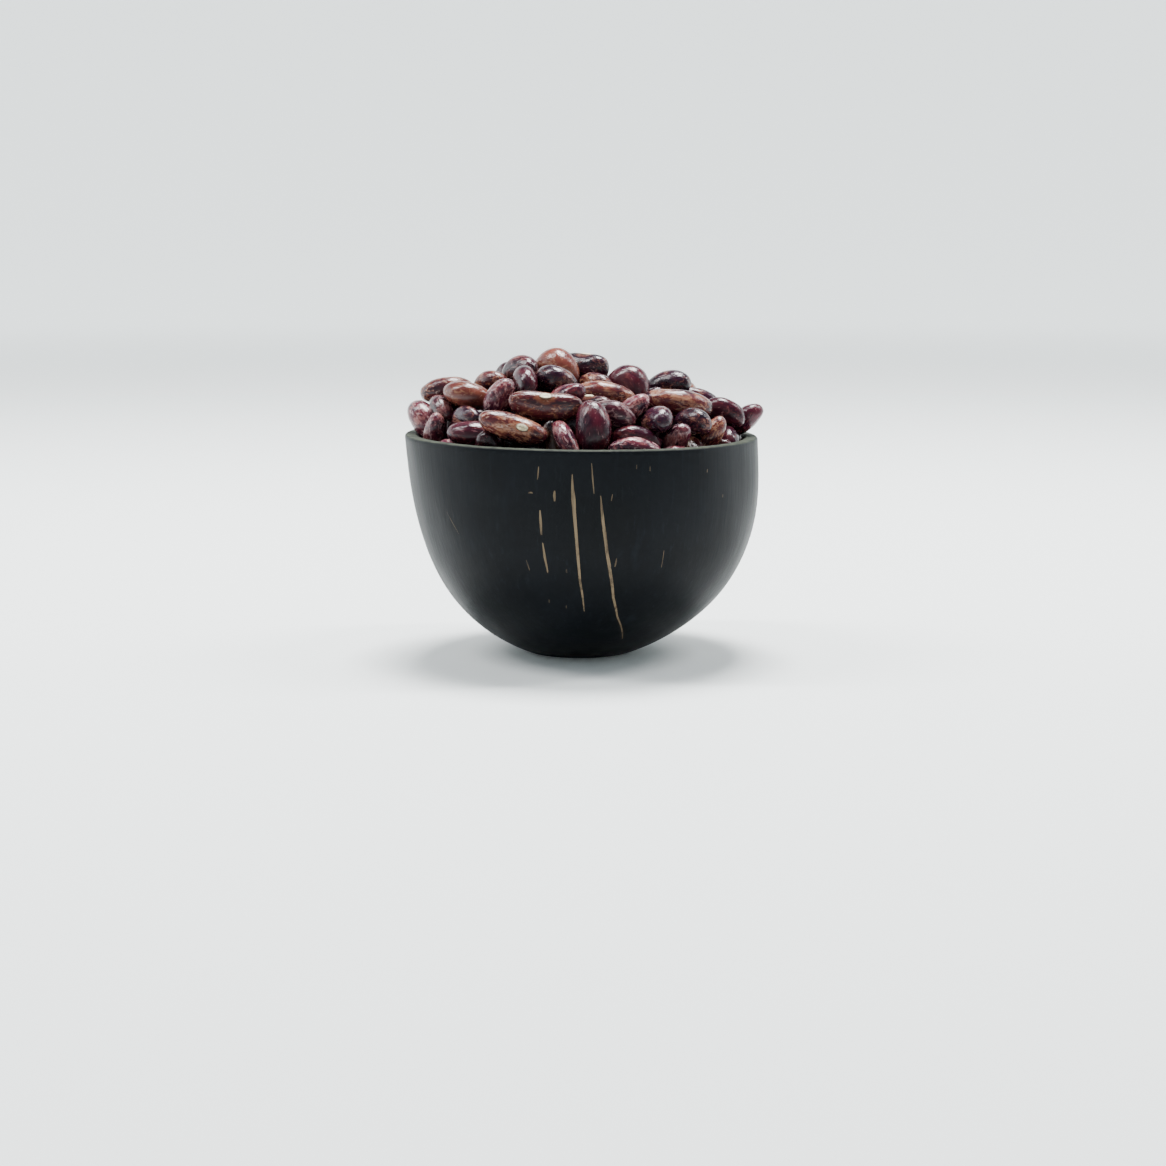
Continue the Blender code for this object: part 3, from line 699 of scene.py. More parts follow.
@dataclass(frozen=True)
class NodeTree:
    """A short hand for building node trees: nodes are added by type, with their inputs given by name."""

    tree: bpy.types.NodeTree

    def add(self, kind: str, inputs: Inputs | None = None, **settings: object) -> bpy.types.Node:
        """Add a node, set its options, and link or fill its inputs.

        Args:
            kind: The node's type name.
            inputs: Value or socket for each input, by the input's name or number.
            **settings: The node's own options.

        Returns:
            The new node.
        """
        node = self.tree.nodes.new(kind)
        for name, value in settings.items():
            setattr(node, name, value)
        self.feed(node, inputs or {})
        return node

    def feed(self, node: bpy.types.Node, inputs: Inputs) -> None:
        """Link a node's inputs to other nodes' outputs, or give them plain values.

        Args:
            node: The node.
            inputs: Value or socket for each input, by the input's name or number.
        """
        for name, value in inputs.items():
            if isinstance(value, Socket):
                self.tree.links.new(value, node.inputs[name])
            else:
                node.inputs[name].default_value = value

    def math(self, operation: str, first: object, second: object = 0.0) -> Socket:
        """Work out one sum on numbers."""
        return self.add("ShaderNodeMath", {0: first, 1: second}, operation=operation).outputs[0]

    def plus(self, first: object, second: object) -> Socket:
        """Add two numbers."""
        return self.math("ADD", first, second)

    def minus(self, first: object, second: object) -> Socket:
        """Take one number from another."""
        return self.math("SUBTRACT", first, second)

    def times(self, first: object, second: object) -> Socket:
        """Multiply two numbers."""
        return self.math("MULTIPLY", first, second)

    def vector(self, operation: str, first: object, second: object) -> Socket:
        """Work out one sum on vectors."""
        return self.add("ShaderNodeVectorMath", {0: first, 1: second}, operation=operation).outputs[0]

    def scaled(self, vector: object, factor: object) -> Socket:
        """Multiply a vector by a number."""
        return self.add("ShaderNodeVectorMath", {0: vector, "Scale": factor}, operation="SCALE").outputs[0]

    def length(self, vector: object) -> Socket:
        """Measure a vector's length."""
        return self.add("ShaderNodeVectorMath", {0: vector}, operation="LENGTH").outputs["Value"]

    def parts(self, vector: object) -> Sequence[Socket]:
        """Take a vector apart into its three numbers."""
        return self.add("ShaderNodeSeparateXYZ", {0: vector}).outputs

    def mix(self, factor: object, first: object, second: object) -> Socket:
        """Mix two colours.

        Args:
            factor: The share of the second colour.
            first: A colour as seen on a screen, each part 0 to 255, or a socket.
            second: The other colour, given in the same way.

        Returns:
            The mixed colour.
        """
        pair = [tone if isinstance(tone, Socket) else colour(*tone) for tone in (first, second)]
        inputs = {0: factor, 6: pair[0], 7: pair[1]}
        return self.add("ShaderNodeMix", inputs, data_type="RGBA", clamp_factor=True).outputs[2]

    def noise(self, place: object, grain: Grain) -> Socket:
        """Make a noise field that follows a place.

        Args:
            place: The place.
            grain: What the noise is like.

        Returns:
            Its value, from 0 to 1.
        """
        inputs = {"Vector": place, "Scale": grain.scale, "Detail": grain.detail}
        inputs |= {"Roughness": grain.rough, "Distortion": grain.bent}
        return self.add("ShaderNodeTexNoise", inputs).outputs["Fac"]

    def step(self, value: object, low: object, high: object) -> Socket:
        """Ease from 0 at the value low to 1 at the value high, which may lie below it."""
        inputs = {"Value": value, "From Min": low, "From Max": high, "To Min": 0.0, "To Max": 1.0}
        return self.add("ShaderNodeMapRange", inputs, interpolation_type="SMOOTHSTEP").outputs["Result"]

    def attribute(self, name: str, part: str = "Fac") -> Socket:
        """Read an attribute of the mesh in a material, as a number or as its part Vector."""
        return self.add("ShaderNodeAttribute", attribute_name=name).outputs[part]

    def object_place(self) -> Socket:
        """Read the place on the object, in metres, in a material."""
        return self.add("ShaderNodeTexCoord").outputs["Object"]

    def relief(self, height: object, strength: float, depth: float) -> Socket:
        """Turn a height into a normal that shades as a fine relief, this deep in metres."""
        inputs = {"Height": height, "Strength": strength, "Distance": depth}
        return self.add("ShaderNodeBump", inputs).outputs["Normal"]


class Finish:
    """What the finishes share: each works out its shader's inputs, and the material is made from them."""

    def inputs(self, tree: NodeTree) -> Inputs:
        """Work out the shader's inputs from the material's nodes: a value or a socket by each name."""
        raise NotImplementedError

    def build(self, name: str) -> bpy.types.Material:
        """Make the material.

        Args:
            name: The material's name.

        Returns:
            The material.
        """
        made = bpy.data.materials.new(name)
        made.use_nodes = True
        tree = NodeTree(made.node_tree)
        tree.feed(made.node_tree.nodes["Principled BSDF"], self.inputs(tree))
        return made


@dataclass(frozen=True)
class BeanSkin(Finish):
    """The skin of one kind of bean: a ground colour with darker clouds, lengthwise marbling, and flecks.

    A halo of its own colour lies round the scar. A range gives the values between which a pattern comes in.
    """

    ground: Triple
    shade: Triple
    rust: Triple
    mark: Triple
    fleck: Triple
    halo: Triple
    marked: float
    flecked: float
    seed_step: Triple = (23.7, 11.3, 41.9)
    streak: Triple = (0.45, 1.0, 1.0)
    clouds: Grain = Grain(0.22, 2.0, 0.5, 0.6)
    cloud_range: Pair = (0.36, 0.66)
    wide_marks: Grain = Grain(0.20, 1.0, 0.5, 0.4)
    wide_share: float = 0.55
    fine_marks: Grain = Grain(0.72, 8.0, 0.70, 1.5)
    fine_share: float = 0.95
    least_mark: float = 0.93
    mark_reach: float = 0.30
    rust_width: float = 0.09
    rust_share: float = 0.8
    mark_range: Pair = (-0.01, 0.05)
    veins: Grain = Grain(1.15, 4.0, 0.6, 0.8)
    vein_range: Pair = (0.46, 0.60)
    vein_share: float = 0.75
    halo_shape: Pair = (0.36, 0.52)
    halo_range: Pair = (1.15, 0.75)
    halo_side: Pair = (0.0, 1.0)
    halo_fray: float = 1.6
    halo_fray_middle: float = 0.75
    haloed: float = 0.5
    flecks: Grain = Grain(1.05, 3.0, 0.6, 0.7)
    least_fleck: float = 0.70
    fleck_reach: float = 0.17
    fleck_width: float = 0.07
    fleck_share: float = 0.7
    depth: float = 0.38
    tone_share: float = 0.38
    sheen: Grain = Grain(0.7)
    sheen_spread: float = 0.18
    roughness: float = 0.12
    gloss: float = 0.28
    wrinkles: Grain = Grain(1.1, 3.0, 0.55, 0.5)
    wrinkle_streak: Triple = (0.35, 1.0, 1.0)
    wrinkle_strength: float = 0.32
    wrinkle_depth: float = 0.0005

    def halo_share(self, tree: NodeTree, place: object, fray: object) -> Socket:
        """Find how strongly the halo round the scar shows.

        Args:
            tree: The material's nodes.
            place: Place on the bean, in millimetres.
            fray: The marbling, which frays the halo's edge.

        Returns:
            The share of the halo's colour.
        """
        length, width, depth = tree.parts(place)
        along = tree.times(tree.minus(length, tree.attribute("bean_scar")), self.halo_shape[0])
        across = tree.times(depth, self.halo_shape[1])
        away = tree.math("SQRT", tree.plus(tree.math("POWER", along, 2.0), tree.math("POWER", across, 2.0)))
        away = tree.plus(away, tree.times(tree.minus(fray, self.halo_fray_middle), self.halo_fray))
        near = tree.times(tree.step(away, *self.halo_range), tree.step(width, *self.halo_side))
        return tree.times(near, self.haloed)

    def pattern(self, tree: NodeTree, place: object, apart: object) -> Socket:
        """Lay the clouds, the marbling, the halo and the flecks over each other.

        Args:
            tree: The material's nodes.
            place: Place on the bean, in millimetres.
            apart: The shift that gives each bean its own pattern.

        Returns:
            The skin's colour.
        """
        streaky = tree.vector("ADD", tree.vector("MULTIPLY", place, self.streak), apart)
        clouds = tree.step(tree.noise(streaky, self.clouds), *self.cloud_range)
        skin = tree.mix(clouds, self.ground, self.shade)
        wide = tree.noise(tree.vector("ADD", place, apart), self.wide_marks)
        fine = tree.noise(streaky, self.fine_marks)
        marbling = tree.plus(tree.times(wide, self.wide_share), tree.times(fine, self.fine_share))
        edge = self.least_mark - self.mark_reach * self.marked
        rusty = tree.step(marbling, edge - self.rust_width, edge)
        skin = tree.mix(tree.times(rusty, self.rust_share), skin, self.rust)
        veins = tree.step(tree.noise(streaky, self.veins), *self.vein_range)
        mark = tree.mix(tree.times(veins, self.vein_share), self.mark, self.rust)
        low, high = self.mark_range
        skin = tree.mix(tree.step(marbling, edge + low, edge + high), skin, mark)
        skin = tree.mix(self.halo_share(tree, place, marbling), skin, self.halo)
        low = self.least_fleck - self.fleck_reach * self.flecked
        flecks = tree.step(tree.noise(streaky, self.flecks), low, low + self.fleck_width)
        return tree.mix(tree.times(flecks, self.fleck_share), skin, self.fleck)

    def inputs(self, tree: NodeTree) -> Inputs:
        """Work out the shader's inputs from each bean's own place, seed, tone and scar.

        Args:
            tree: The material's nodes.

        Returns:
            Value or socket for each input, by its name.
        """
        place = tree.attribute("bean_place", "Vector")
        apart = tree.scaled(self.seed_step, tree.attribute("bean_seed"))
        even = tree.vector("ADD", place, apart)
        # The tone scales each skin's colour: the bean's own paleness, and painted shade on the under layer and
        # on some front beans.
        tone = tree.times(tree.attribute("bean_tone_and_shade"), self.depth * self.tone_share)
        sheen = tree.times(tree.noise(even, self.sheen), self.sheen_spread)
        wrinkles = tree.noise(tree.vector("MULTIPLY", even, self.wrinkle_streak), self.wrinkles)
        return {
            "Base Color": tree.scaled(self.pattern(tree, place, apart), tree.plus(tone, self.depth)),
            "Roughness": tree.plus(sheen, self.roughness),
            "Specular IOR Level": self.gloss,
            "Normal": tree.relief(wrinkles, self.wrinkle_strength, self.wrinkle_depth),
        }


@dataclass(frozen=True)
class ScarSkin(Finish):
    """The pale oval scar on a bean's inner side, with a dark rim and a faint slit along its middle."""

    pale: Triple = (222, 214, 180)
    worn: Triple = (178, 164, 128)
    rim: Triple = (84, 58, 44)
    half_length: float = 1.7
    half_width: float = 0.95
    rim_range: Pair = (0.80, 0.98)
    slit_range: Pair = (0.22, 0.06)
    slit_share: float = 0.45
    seed_step: Triple = (13.1, 31.7, 7.9)
    grain: Grain = Grain(1.6, 4.0, 0.6)
    worn_range: Pair = (0.42, 0.66)
    relief_strength: float = 0.3
    relief_depth: float = 0.0003
    roughness: float = 0.6

    def inputs(self, tree: NodeTree) -> Inputs:
        """Shade the scar by the place on it and each bean's seed.

        Args:
            tree: The material's nodes.

        Returns:
            Value or socket for each input, by its name.
        """
        place = tree.attribute("bean_place", "Vector")
        apart = tree.scaled(self.seed_step, tree.attribute("bean_seed"))
        grain = tree.noise(tree.vector("ADD", place, apart), self.grain)
        skin = tree.mix(tree.step(grain, *self.worn_range), self.pale, self.worn)
        slit = tree.step(tree.math("ABSOLUTE", tree.parts(place)[2]), *self.slit_range)
        skin = tree.mix(tree.times(slit, self.slit_share), skin, self.rim)
        oval = (1.0 / self.half_length, 0.0, 1.0 / self.half_width)
        away = tree.length(tree.vector("MULTIPLY", place, oval))
        skin = tree.mix(tree.step(away, *self.rim_range), skin, self.rim)
        relief = tree.relief(grain, self.relief_strength, self.relief_depth)
        return {"Base Color": skin, "Roughness": self.roughness, "Normal": relief}


@dataclass(frozen=True)
class ShellFinish(Finish):
    """Blackened, sanded coconut shell: satin charcoal with fine fibre lines, and a dull grey-green sawn rim.

    Attributes of the mesh tell a tan strand and its strength, and height and slope tell the rim. A range
    gives the values between which a pattern comes in, and its third number, if any, the most that it shows.
    """

    dark: Triple = (10, 13, 17)
    darker: Triple = (6, 8, 11)
    pale: Triple = (23, 28, 34)
    rim: Triple = (58, 62, 53)
    rim_shade: Triple = (33, 37, 33)
    fibre: Triple = (108, 93, 73)
    fibre_shade: Triple = (70, 59, 47)
    roughness: float = 0.44
    sawn_roughness: float = 0.25
    uneven_roughness: float = 0.18
    gloss: float = 0.07
    rim_height: float = 0.055
    rim_ease: float = 0.002
    rim_slope: Pair = (0.55, 0.9)
    clouds: Grain = Grain(38.0)
    cloud_range: Pair = (0.35, 0.68)
    fine_lines: Grain = Grain(900.0, 4.0, 0.6)
    fine_stretch: Triple = (1.0, 1.0, 0.06)
    fine_range: Triple = (0.55, 0.75, 0.35)
    fine_relief: float = 0.6
    wide_lines: Grain = Grain(160.0, 4.0, 0.55)
    wide_stretch: Triple = (1.0, 1.0, 0.22)
    wide_range: Triple = (0.58, 0.80, 0.40)
    wide_relief: float = 0.7
    fibre_range: Pair = (0.42, 0.66)
    sawn_grain: Grain = Grain(420.0, 4.0, 0.65)
    sawn_range: Pair = (0.35, 0.7)
    ragged_grain: Grain = Grain(1500.0, 3.0, 0.6)
    ragged_stretch: Triple = (1.0, 1.0, 0.35)
    ragged_share: float = 0.9
    strand_range: Pair = (0.34, 0.62)
    relief_strength: float = 0.28
    relief_depth: float = 0.0003

    def inputs(self, tree: NodeTree) -> Inputs:
        """Lay the clouds, the fibre lines, the sawn rim and the tan strands over each other.

        Args:
            tree: The material's nodes.

        Returns:
            Value or socket for each input, by its name.
        """
        place = tree.object_place()
        lines = tree.noise(tree.vector("MULTIPLY", place, self.fine_stretch), self.fine_lines)
        wide = tree.noise(tree.vector("MULTIPLY", place, self.wide_stretch), self.wide_lines)
        clouds = tree.step(tree.noise(place, self.clouds), *self.cloud_range)
        skin = tree.mix(clouds, self.dark, self.darker)
        for line, reach in ((lines, self.fine_range), (wide, self.wide_range)):
            skin = tree.mix(tree.times(tree.step(line, *reach[:2]), reach[2]), skin, self.pale)
        high = tree.step(tree.parts(place)[2], self.rim_height, self.rim_height + self.rim_ease)
        normal = tree.add("ShaderNodeNewGeometry").outputs["Normal"]
        sawn = tree.times(high, tree.step(tree.parts(normal)[2], *self.rim_slope))
        grain = tree.step(tree.noise(place, self.sawn_grain), *self.sawn_range)
        skin = tree.mix(sawn, skin, tree.mix(grain, self.rim, self.rim_shade))
        ragged = tree.noise(tree.vector("MULTIPLY", place, self.ragged_stretch), self.ragged_grain)
        ragged = tree.plus(tree.attribute("fibre"), tree.times(tree.minus(ragged, 0.5), self.ragged_share))
        strand = tree.times(tree.step(ragged, *self.strand_range), tree.attribute("fibre_strength"))
        fibre = tree.mix(tree.step(lines, *self.fibre_range), self.fibre, self.fibre_shade)
        skin = tree.mix(strand, skin, fibre)
        rough = tree.plus(tree.times(sawn, self.sawn_roughness), self.roughness)
        relief = tree.plus(tree.times(lines, self.fine_relief), tree.times(wide, self.wide_relief))
        return {
            "Base Color": skin,
            "Roughness": tree.plus(rough, tree.times(tree.minus(wide, 0.5), self.uneven_roughness)),
            "Specular IOR Level": self.gloss,
            "Normal": tree.relief(relief, self.relief_strength, self.relief_depth),
        }


@dataclass(frozen=True)
class DeepFinish(Finish):
    """Painted shade: the dark core between the beans, coloured as skins that lie in full shade."""

    # Painted shade: near-black tones where the beans below the top ones lie in shadow.
    near: Triple = (34, 24, 28)
    far: Triple = (16, 13, 16)
    clouds: Grain = Grain(260.0)
    cloud_range: Pair = (0.38, 0.64)
    roughness: float = 0.8

    def inputs(self, tree: NodeTree) -> Inputs:
        """Mix the two dark tones of painted shade in clouds."""
        clouds = tree.step(tree.noise(tree.object_place(), self.clouds), *self.cloud_range)
        return {"Base Color": tree.mix(clouds, self.near, self.far), "Roughness": self.roughness}


BEAN_SKINS = {
    PLUM: BeanSkin(
        ground=(74, 33, 56), shade=(38, 23, 41), rust=(104, 49, 56), mark=(172, 119, 105),
        fleck=(200, 163, 158), halo=(172, 107, 81), marked=0.34, flecked=0.40,
    ),
    MAROON: BeanSkin(
        ground=(112, 38, 58), shade=(66, 25, 47), rust=(124, 52, 60), mark=(158, 84, 86),
        fleck=(200, 134, 139), halo=(84, 33, 43), marked=0.22, flecked=0.45,
    ),
    SPECKLED: BeanSkin(
        ground=(120, 47, 68), shade=(62, 29, 50), rust=(146, 74, 81), mark=(194, 128, 124),
        fleck=(234, 187, 186), halo=(90, 39, 49), marked=0.40, flecked=0.90,
    ),
    MOTTLED: BeanSkin(
        ground=(112, 46, 55), shade=(60, 30, 43), rust=(146, 76, 64), mark=(204, 144, 113),
        fleck=(230, 187, 165), halo=(190, 115, 79), marked=0.44, flecked=0.65,
    ),
    TAN: BeanSkin(
        ground=(176, 97, 79), shade=(132, 62, 60), rust=(150, 76, 64), mark=(206, 140, 111),
        fleck=(230, 181, 158), halo=(140, 80, 66), marked=0.44, flecked=0.45,
    ),
}
FILL_KINDS = {
    PLUM: 0.30,
    MAROON: 0.26,
    SPECKLED: 0.18,
    MOTTLED: 0.22,
    TAN: 0.04,
}


# The heap of beans


@dataclass(frozen=True)
class BeanShape:
    """One bean of unit length, width and thickness, and the scar that sits in its dent.

    The scar is in millimetres, for a bean as wide as scar_bean_width. Each row of its section is a share of
    its outline and a share of its height.
    """

    bend: float = 0.145
    bend_level: float = 0.35
    notch: float = 0.045
    notch_reach: float = 0.35
    fullness: float = 0.78
    sides: int = 24
    rings: int = 27
    tip_step: float = 0.75
    scar_length: float = 3.4
    scar_width: float = 1.9
    scar_height: float = 0.5
    scar_bean_width: float = 8.0
    scar_sides: int = 14
    scar_section: tuple[Pair, ...] = (
        (1.0, -0.45), (1.0, 0.0), (0.86, 0.30), (0.55, 0.42), (0.25, 0.40),
    )
    scar_middle: float = 0.24
    groove: float = 0.16
    groove_reach: float = 0.22

    def surface(self, turn: float, round_turn: float) -> Triple:
        """Find a point of the unit bean.

        Args:
            turn: Way along the bean, from 0 at one tip to pi at the other.
            round_turn: Way round the bean, 0 at its scar.

        Returns:
            The point, with each size taken as 1.
        """
        swell = math.sin(turn) ** self.fullness
        share = math.cos(turn)
        across = 0.5 * swell * math.cos(round_turn)
        facing = max(0.0, math.cos(round_turn)) * swell
        across -= self.notch * facing * math.exp(-((share / self.notch_reach) ** 2))
        across += self.bend * (share**2 - self.bend_level)
        return (0.5 * share, across, 0.5 * swell * math.sin(round_turn))

    def build_bean(self) -> Thing:
        """Make the unit bean, in metres, with its rings closer together towards the tips.

        Returns:
            The bean's object.
        """
        tip = self.bend * (1.0 - self.bend_level)
        points = [(0.5, tip, 0.0)]
        for ring in range(self.rings):
            turn = math.pi * (ring + self.tip_step) / (self.rings + 2.0 * self.tip_step - 1.0)
            points.extend(self.surface(turn, 2.0 * math.pi * side / self.sides) for side in range(self.sides))
        points.append((-0.5, tip, 0.0))
        faces = tube_faces(1, self.rings, self.sides, 0, len(points) - 1)
        return add_mesh("unit_bean", np.array(points) / MM, faces)

    def build_scar(self) -> Thing:
        """Make the scar, an oval button with a groove along it, lying in the XZ plane with its top on +Y.

        Returns:
            The scar's object.
        """
        points = []
        for wide, tall in self.scar_section:
            for long, deep, _ in ring_points(wide, 0.0, self.scar_sides):
                groove = self.groove * math.exp(-((deep / self.groove_reach) ** 2)) if tall > 0.0 else 0.0
                rise = self.scar_height * (tall - groove)
                points.append((0.5 * self.scar_length * long, rise, 0.5 * self.scar_width * deep))
        points.append((0.0, self.scar_height * self.scar_middle, 0.0))
        points.append((0.0, self.scar_height * self.scar_section[0][1], 0.0))
        top, bottom = len(points) - 2, len(points) - 1
        faces = tube_faces(0, len(self.scar_section), self.scar_sides, bottom, top)
        return add_mesh("one_scar", points, faces)


class BeanScatter:
    """The node tree that sets out one shape on points, each with its own turn, size, seed and tone."""

    INPUTS = (
        ("Geometry", "NodeSocketGeometry"),
        ("Shape", "NodeSocketObject"),
        ("Skin", "NodeSocketMaterial"),
        ("Dent depth", "NodeSocketFloat"),
        ("Dent scale", "NodeSocketFloat"),
        ("Place scale", "NodeSocketFloat"),
    )
    SEED_STEP = (5.3, 8.9, 3.1)
    DENT_DETAIL = 1.0
    SPARE_ATTRIBUTES = ("turn", "size", "unit_place")

    def __init__(self) -> None:
        """Build the tree once; each piece then uses it with its own inputs."""
        self.group = bpy.data.node_groups.new("beans on points", "GeometryNodeTree")
        for name, kind in self.INPUTS:
            self.group.interface.new_socket(name, in_out="INPUT", socket_type=kind)
        self.group.interface.new_socket("Geometry", in_out="OUTPUT", socket_type="NodeSocketGeometry")
        self.tree = NodeTree(self.group)
        given = self.tree.add("NodeGroupInput").outputs
        beans = self.lay_out(given)
        dented = self.dent(beans, given)
        smooth = self.tree.add("GeometryNodeSetShadeSmooth", {0: dented}).outputs[0]
        inputs = {"Geometry": smooth, "Material": given["Skin"]}
        dressed = self.tree.add("GeometryNodeSetMaterial", inputs).outputs[0]
        self.tree.add("NodeGroupOutput", {0: dressed})

    def read(self, name: str, kind: str = "FLOAT_VECTOR") -> Socket:
        """Read a named attribute of the points or the mesh."""
        return self.tree.add("GeometryNodeInputNamedAttribute", {"Name": name}, data_type=kind).outputs[0]

    def keep(self, geometry: object, name: str, value: object) -> Socket:
        """Store a vector as a named attribute."""
        inputs = {"Geometry": geometry, "Name": name, "Value": value}
        return self.tree.add("GeometryNodeStoreNamedAttribute", inputs, data_type="FLOAT_VECTOR").outputs[0]

    def lay_out(self, given: Sequence[Socket]) -> Socket:
        """Set the shape out on the points, as real meshes that know each place on their own bean.

        Args:
            given: The tree's inputs.

        Returns:
            The meshes.
        """
        tree = self.tree
        shape = tree.add("GeometryNodeObjectInfo", {"Object": given["Shape"]}).outputs["Geometry"]
        inputs = {
            "Points": given["Geometry"],
            "Instance": self.keep(shape, "unit_place", tree.add("GeometryNodeInputPosition").outputs[0]),
            "Rotation": tree.add("FunctionNodeEulerToRotation", {0: self.read("turn")}).outputs[0],
            "Scale": self.read("size"),
        }
        laid = tree.add("GeometryNodeInstanceOnPoints", inputs).outputs[0]
        real = tree.add("GeometryNodeRealizeInstances", {0: laid}).outputs[0]
        place = tree.vector("MULTIPLY", self.read("unit_place"), self.read("size"))
        return self.keep(real, "bean_place", tree.scaled(place, given["Place scale"]))

    def dent(self, beans: object, given: Sequence[Socket]) -> Socket:
        """Press shallow dents into the beans, different on each.

        Args:
            beans: The meshes.
            given: The tree's inputs.

        Returns:
            The dented meshes.
        """
        tree = self.tree
        apart = tree.scaled(self.SEED_STEP, self.read("bean_seed", "FLOAT"))
        place = tree.vector("ADD", self.read("bean_place"), apart)
        inputs = {"Vector": place, "Scale": given["Dent scale"], "Detail": self.DENT_DETAIL}
        dents = tree.add("ShaderNodeTexNoise", inputs).outputs["Fac"]
        depth = tree.times(tree.minus(dents, 0.5), given["Dent depth"])
        offset = tree.scaled(tree.add("GeometryNodeInputNormal").outputs[0], depth)
        return tree.add("GeometryNodeSetPosition", {0: beans, "Offset": offset}).outputs[0]

    def scatter(
        self, name: str, points: Thing, values: dict[str, object], material: bpy.types.Material
    ) -> Thing:
        """Set the shape out on the points and turn the result into a plain mesh.

        Args:
            name: Name of the new piece.
            points: Object whose points carry the attributes turn, size, bean_seed and bean_tone_and_shade.
            values: Value of each named input besides the skin.
            material: The skin.

        Returns:
            The finished piece, at the origin.
        """
        modifier = points.modifiers.new("scatter", "NODES")
        modifier.node_group = self.group
        wanted = values | {"Skin": material}
        for item in self.group.interface.items_tree:
            if item.in_out == "INPUT" and item.name in wanted:
                modifier[item.identifier] = wanted[item.name]
        bpy.context.view_layer.update()
        ready = points.evaluated_get(bpy.context.evaluated_depsgraph_get())
        mesh = bpy.data.meshes.new_from_object(ready)
        mesh.name = name
        for spare in self.SPARE_ATTRIBUTES:
            if spare in mesh.attributes:
                mesh.attributes.remove(mesh.attributes[spare])
        points.modifiers.remove(modifier)
        bpy.data.objects.remove(points, do_unlink=True)
        return add_object(name, mesh)


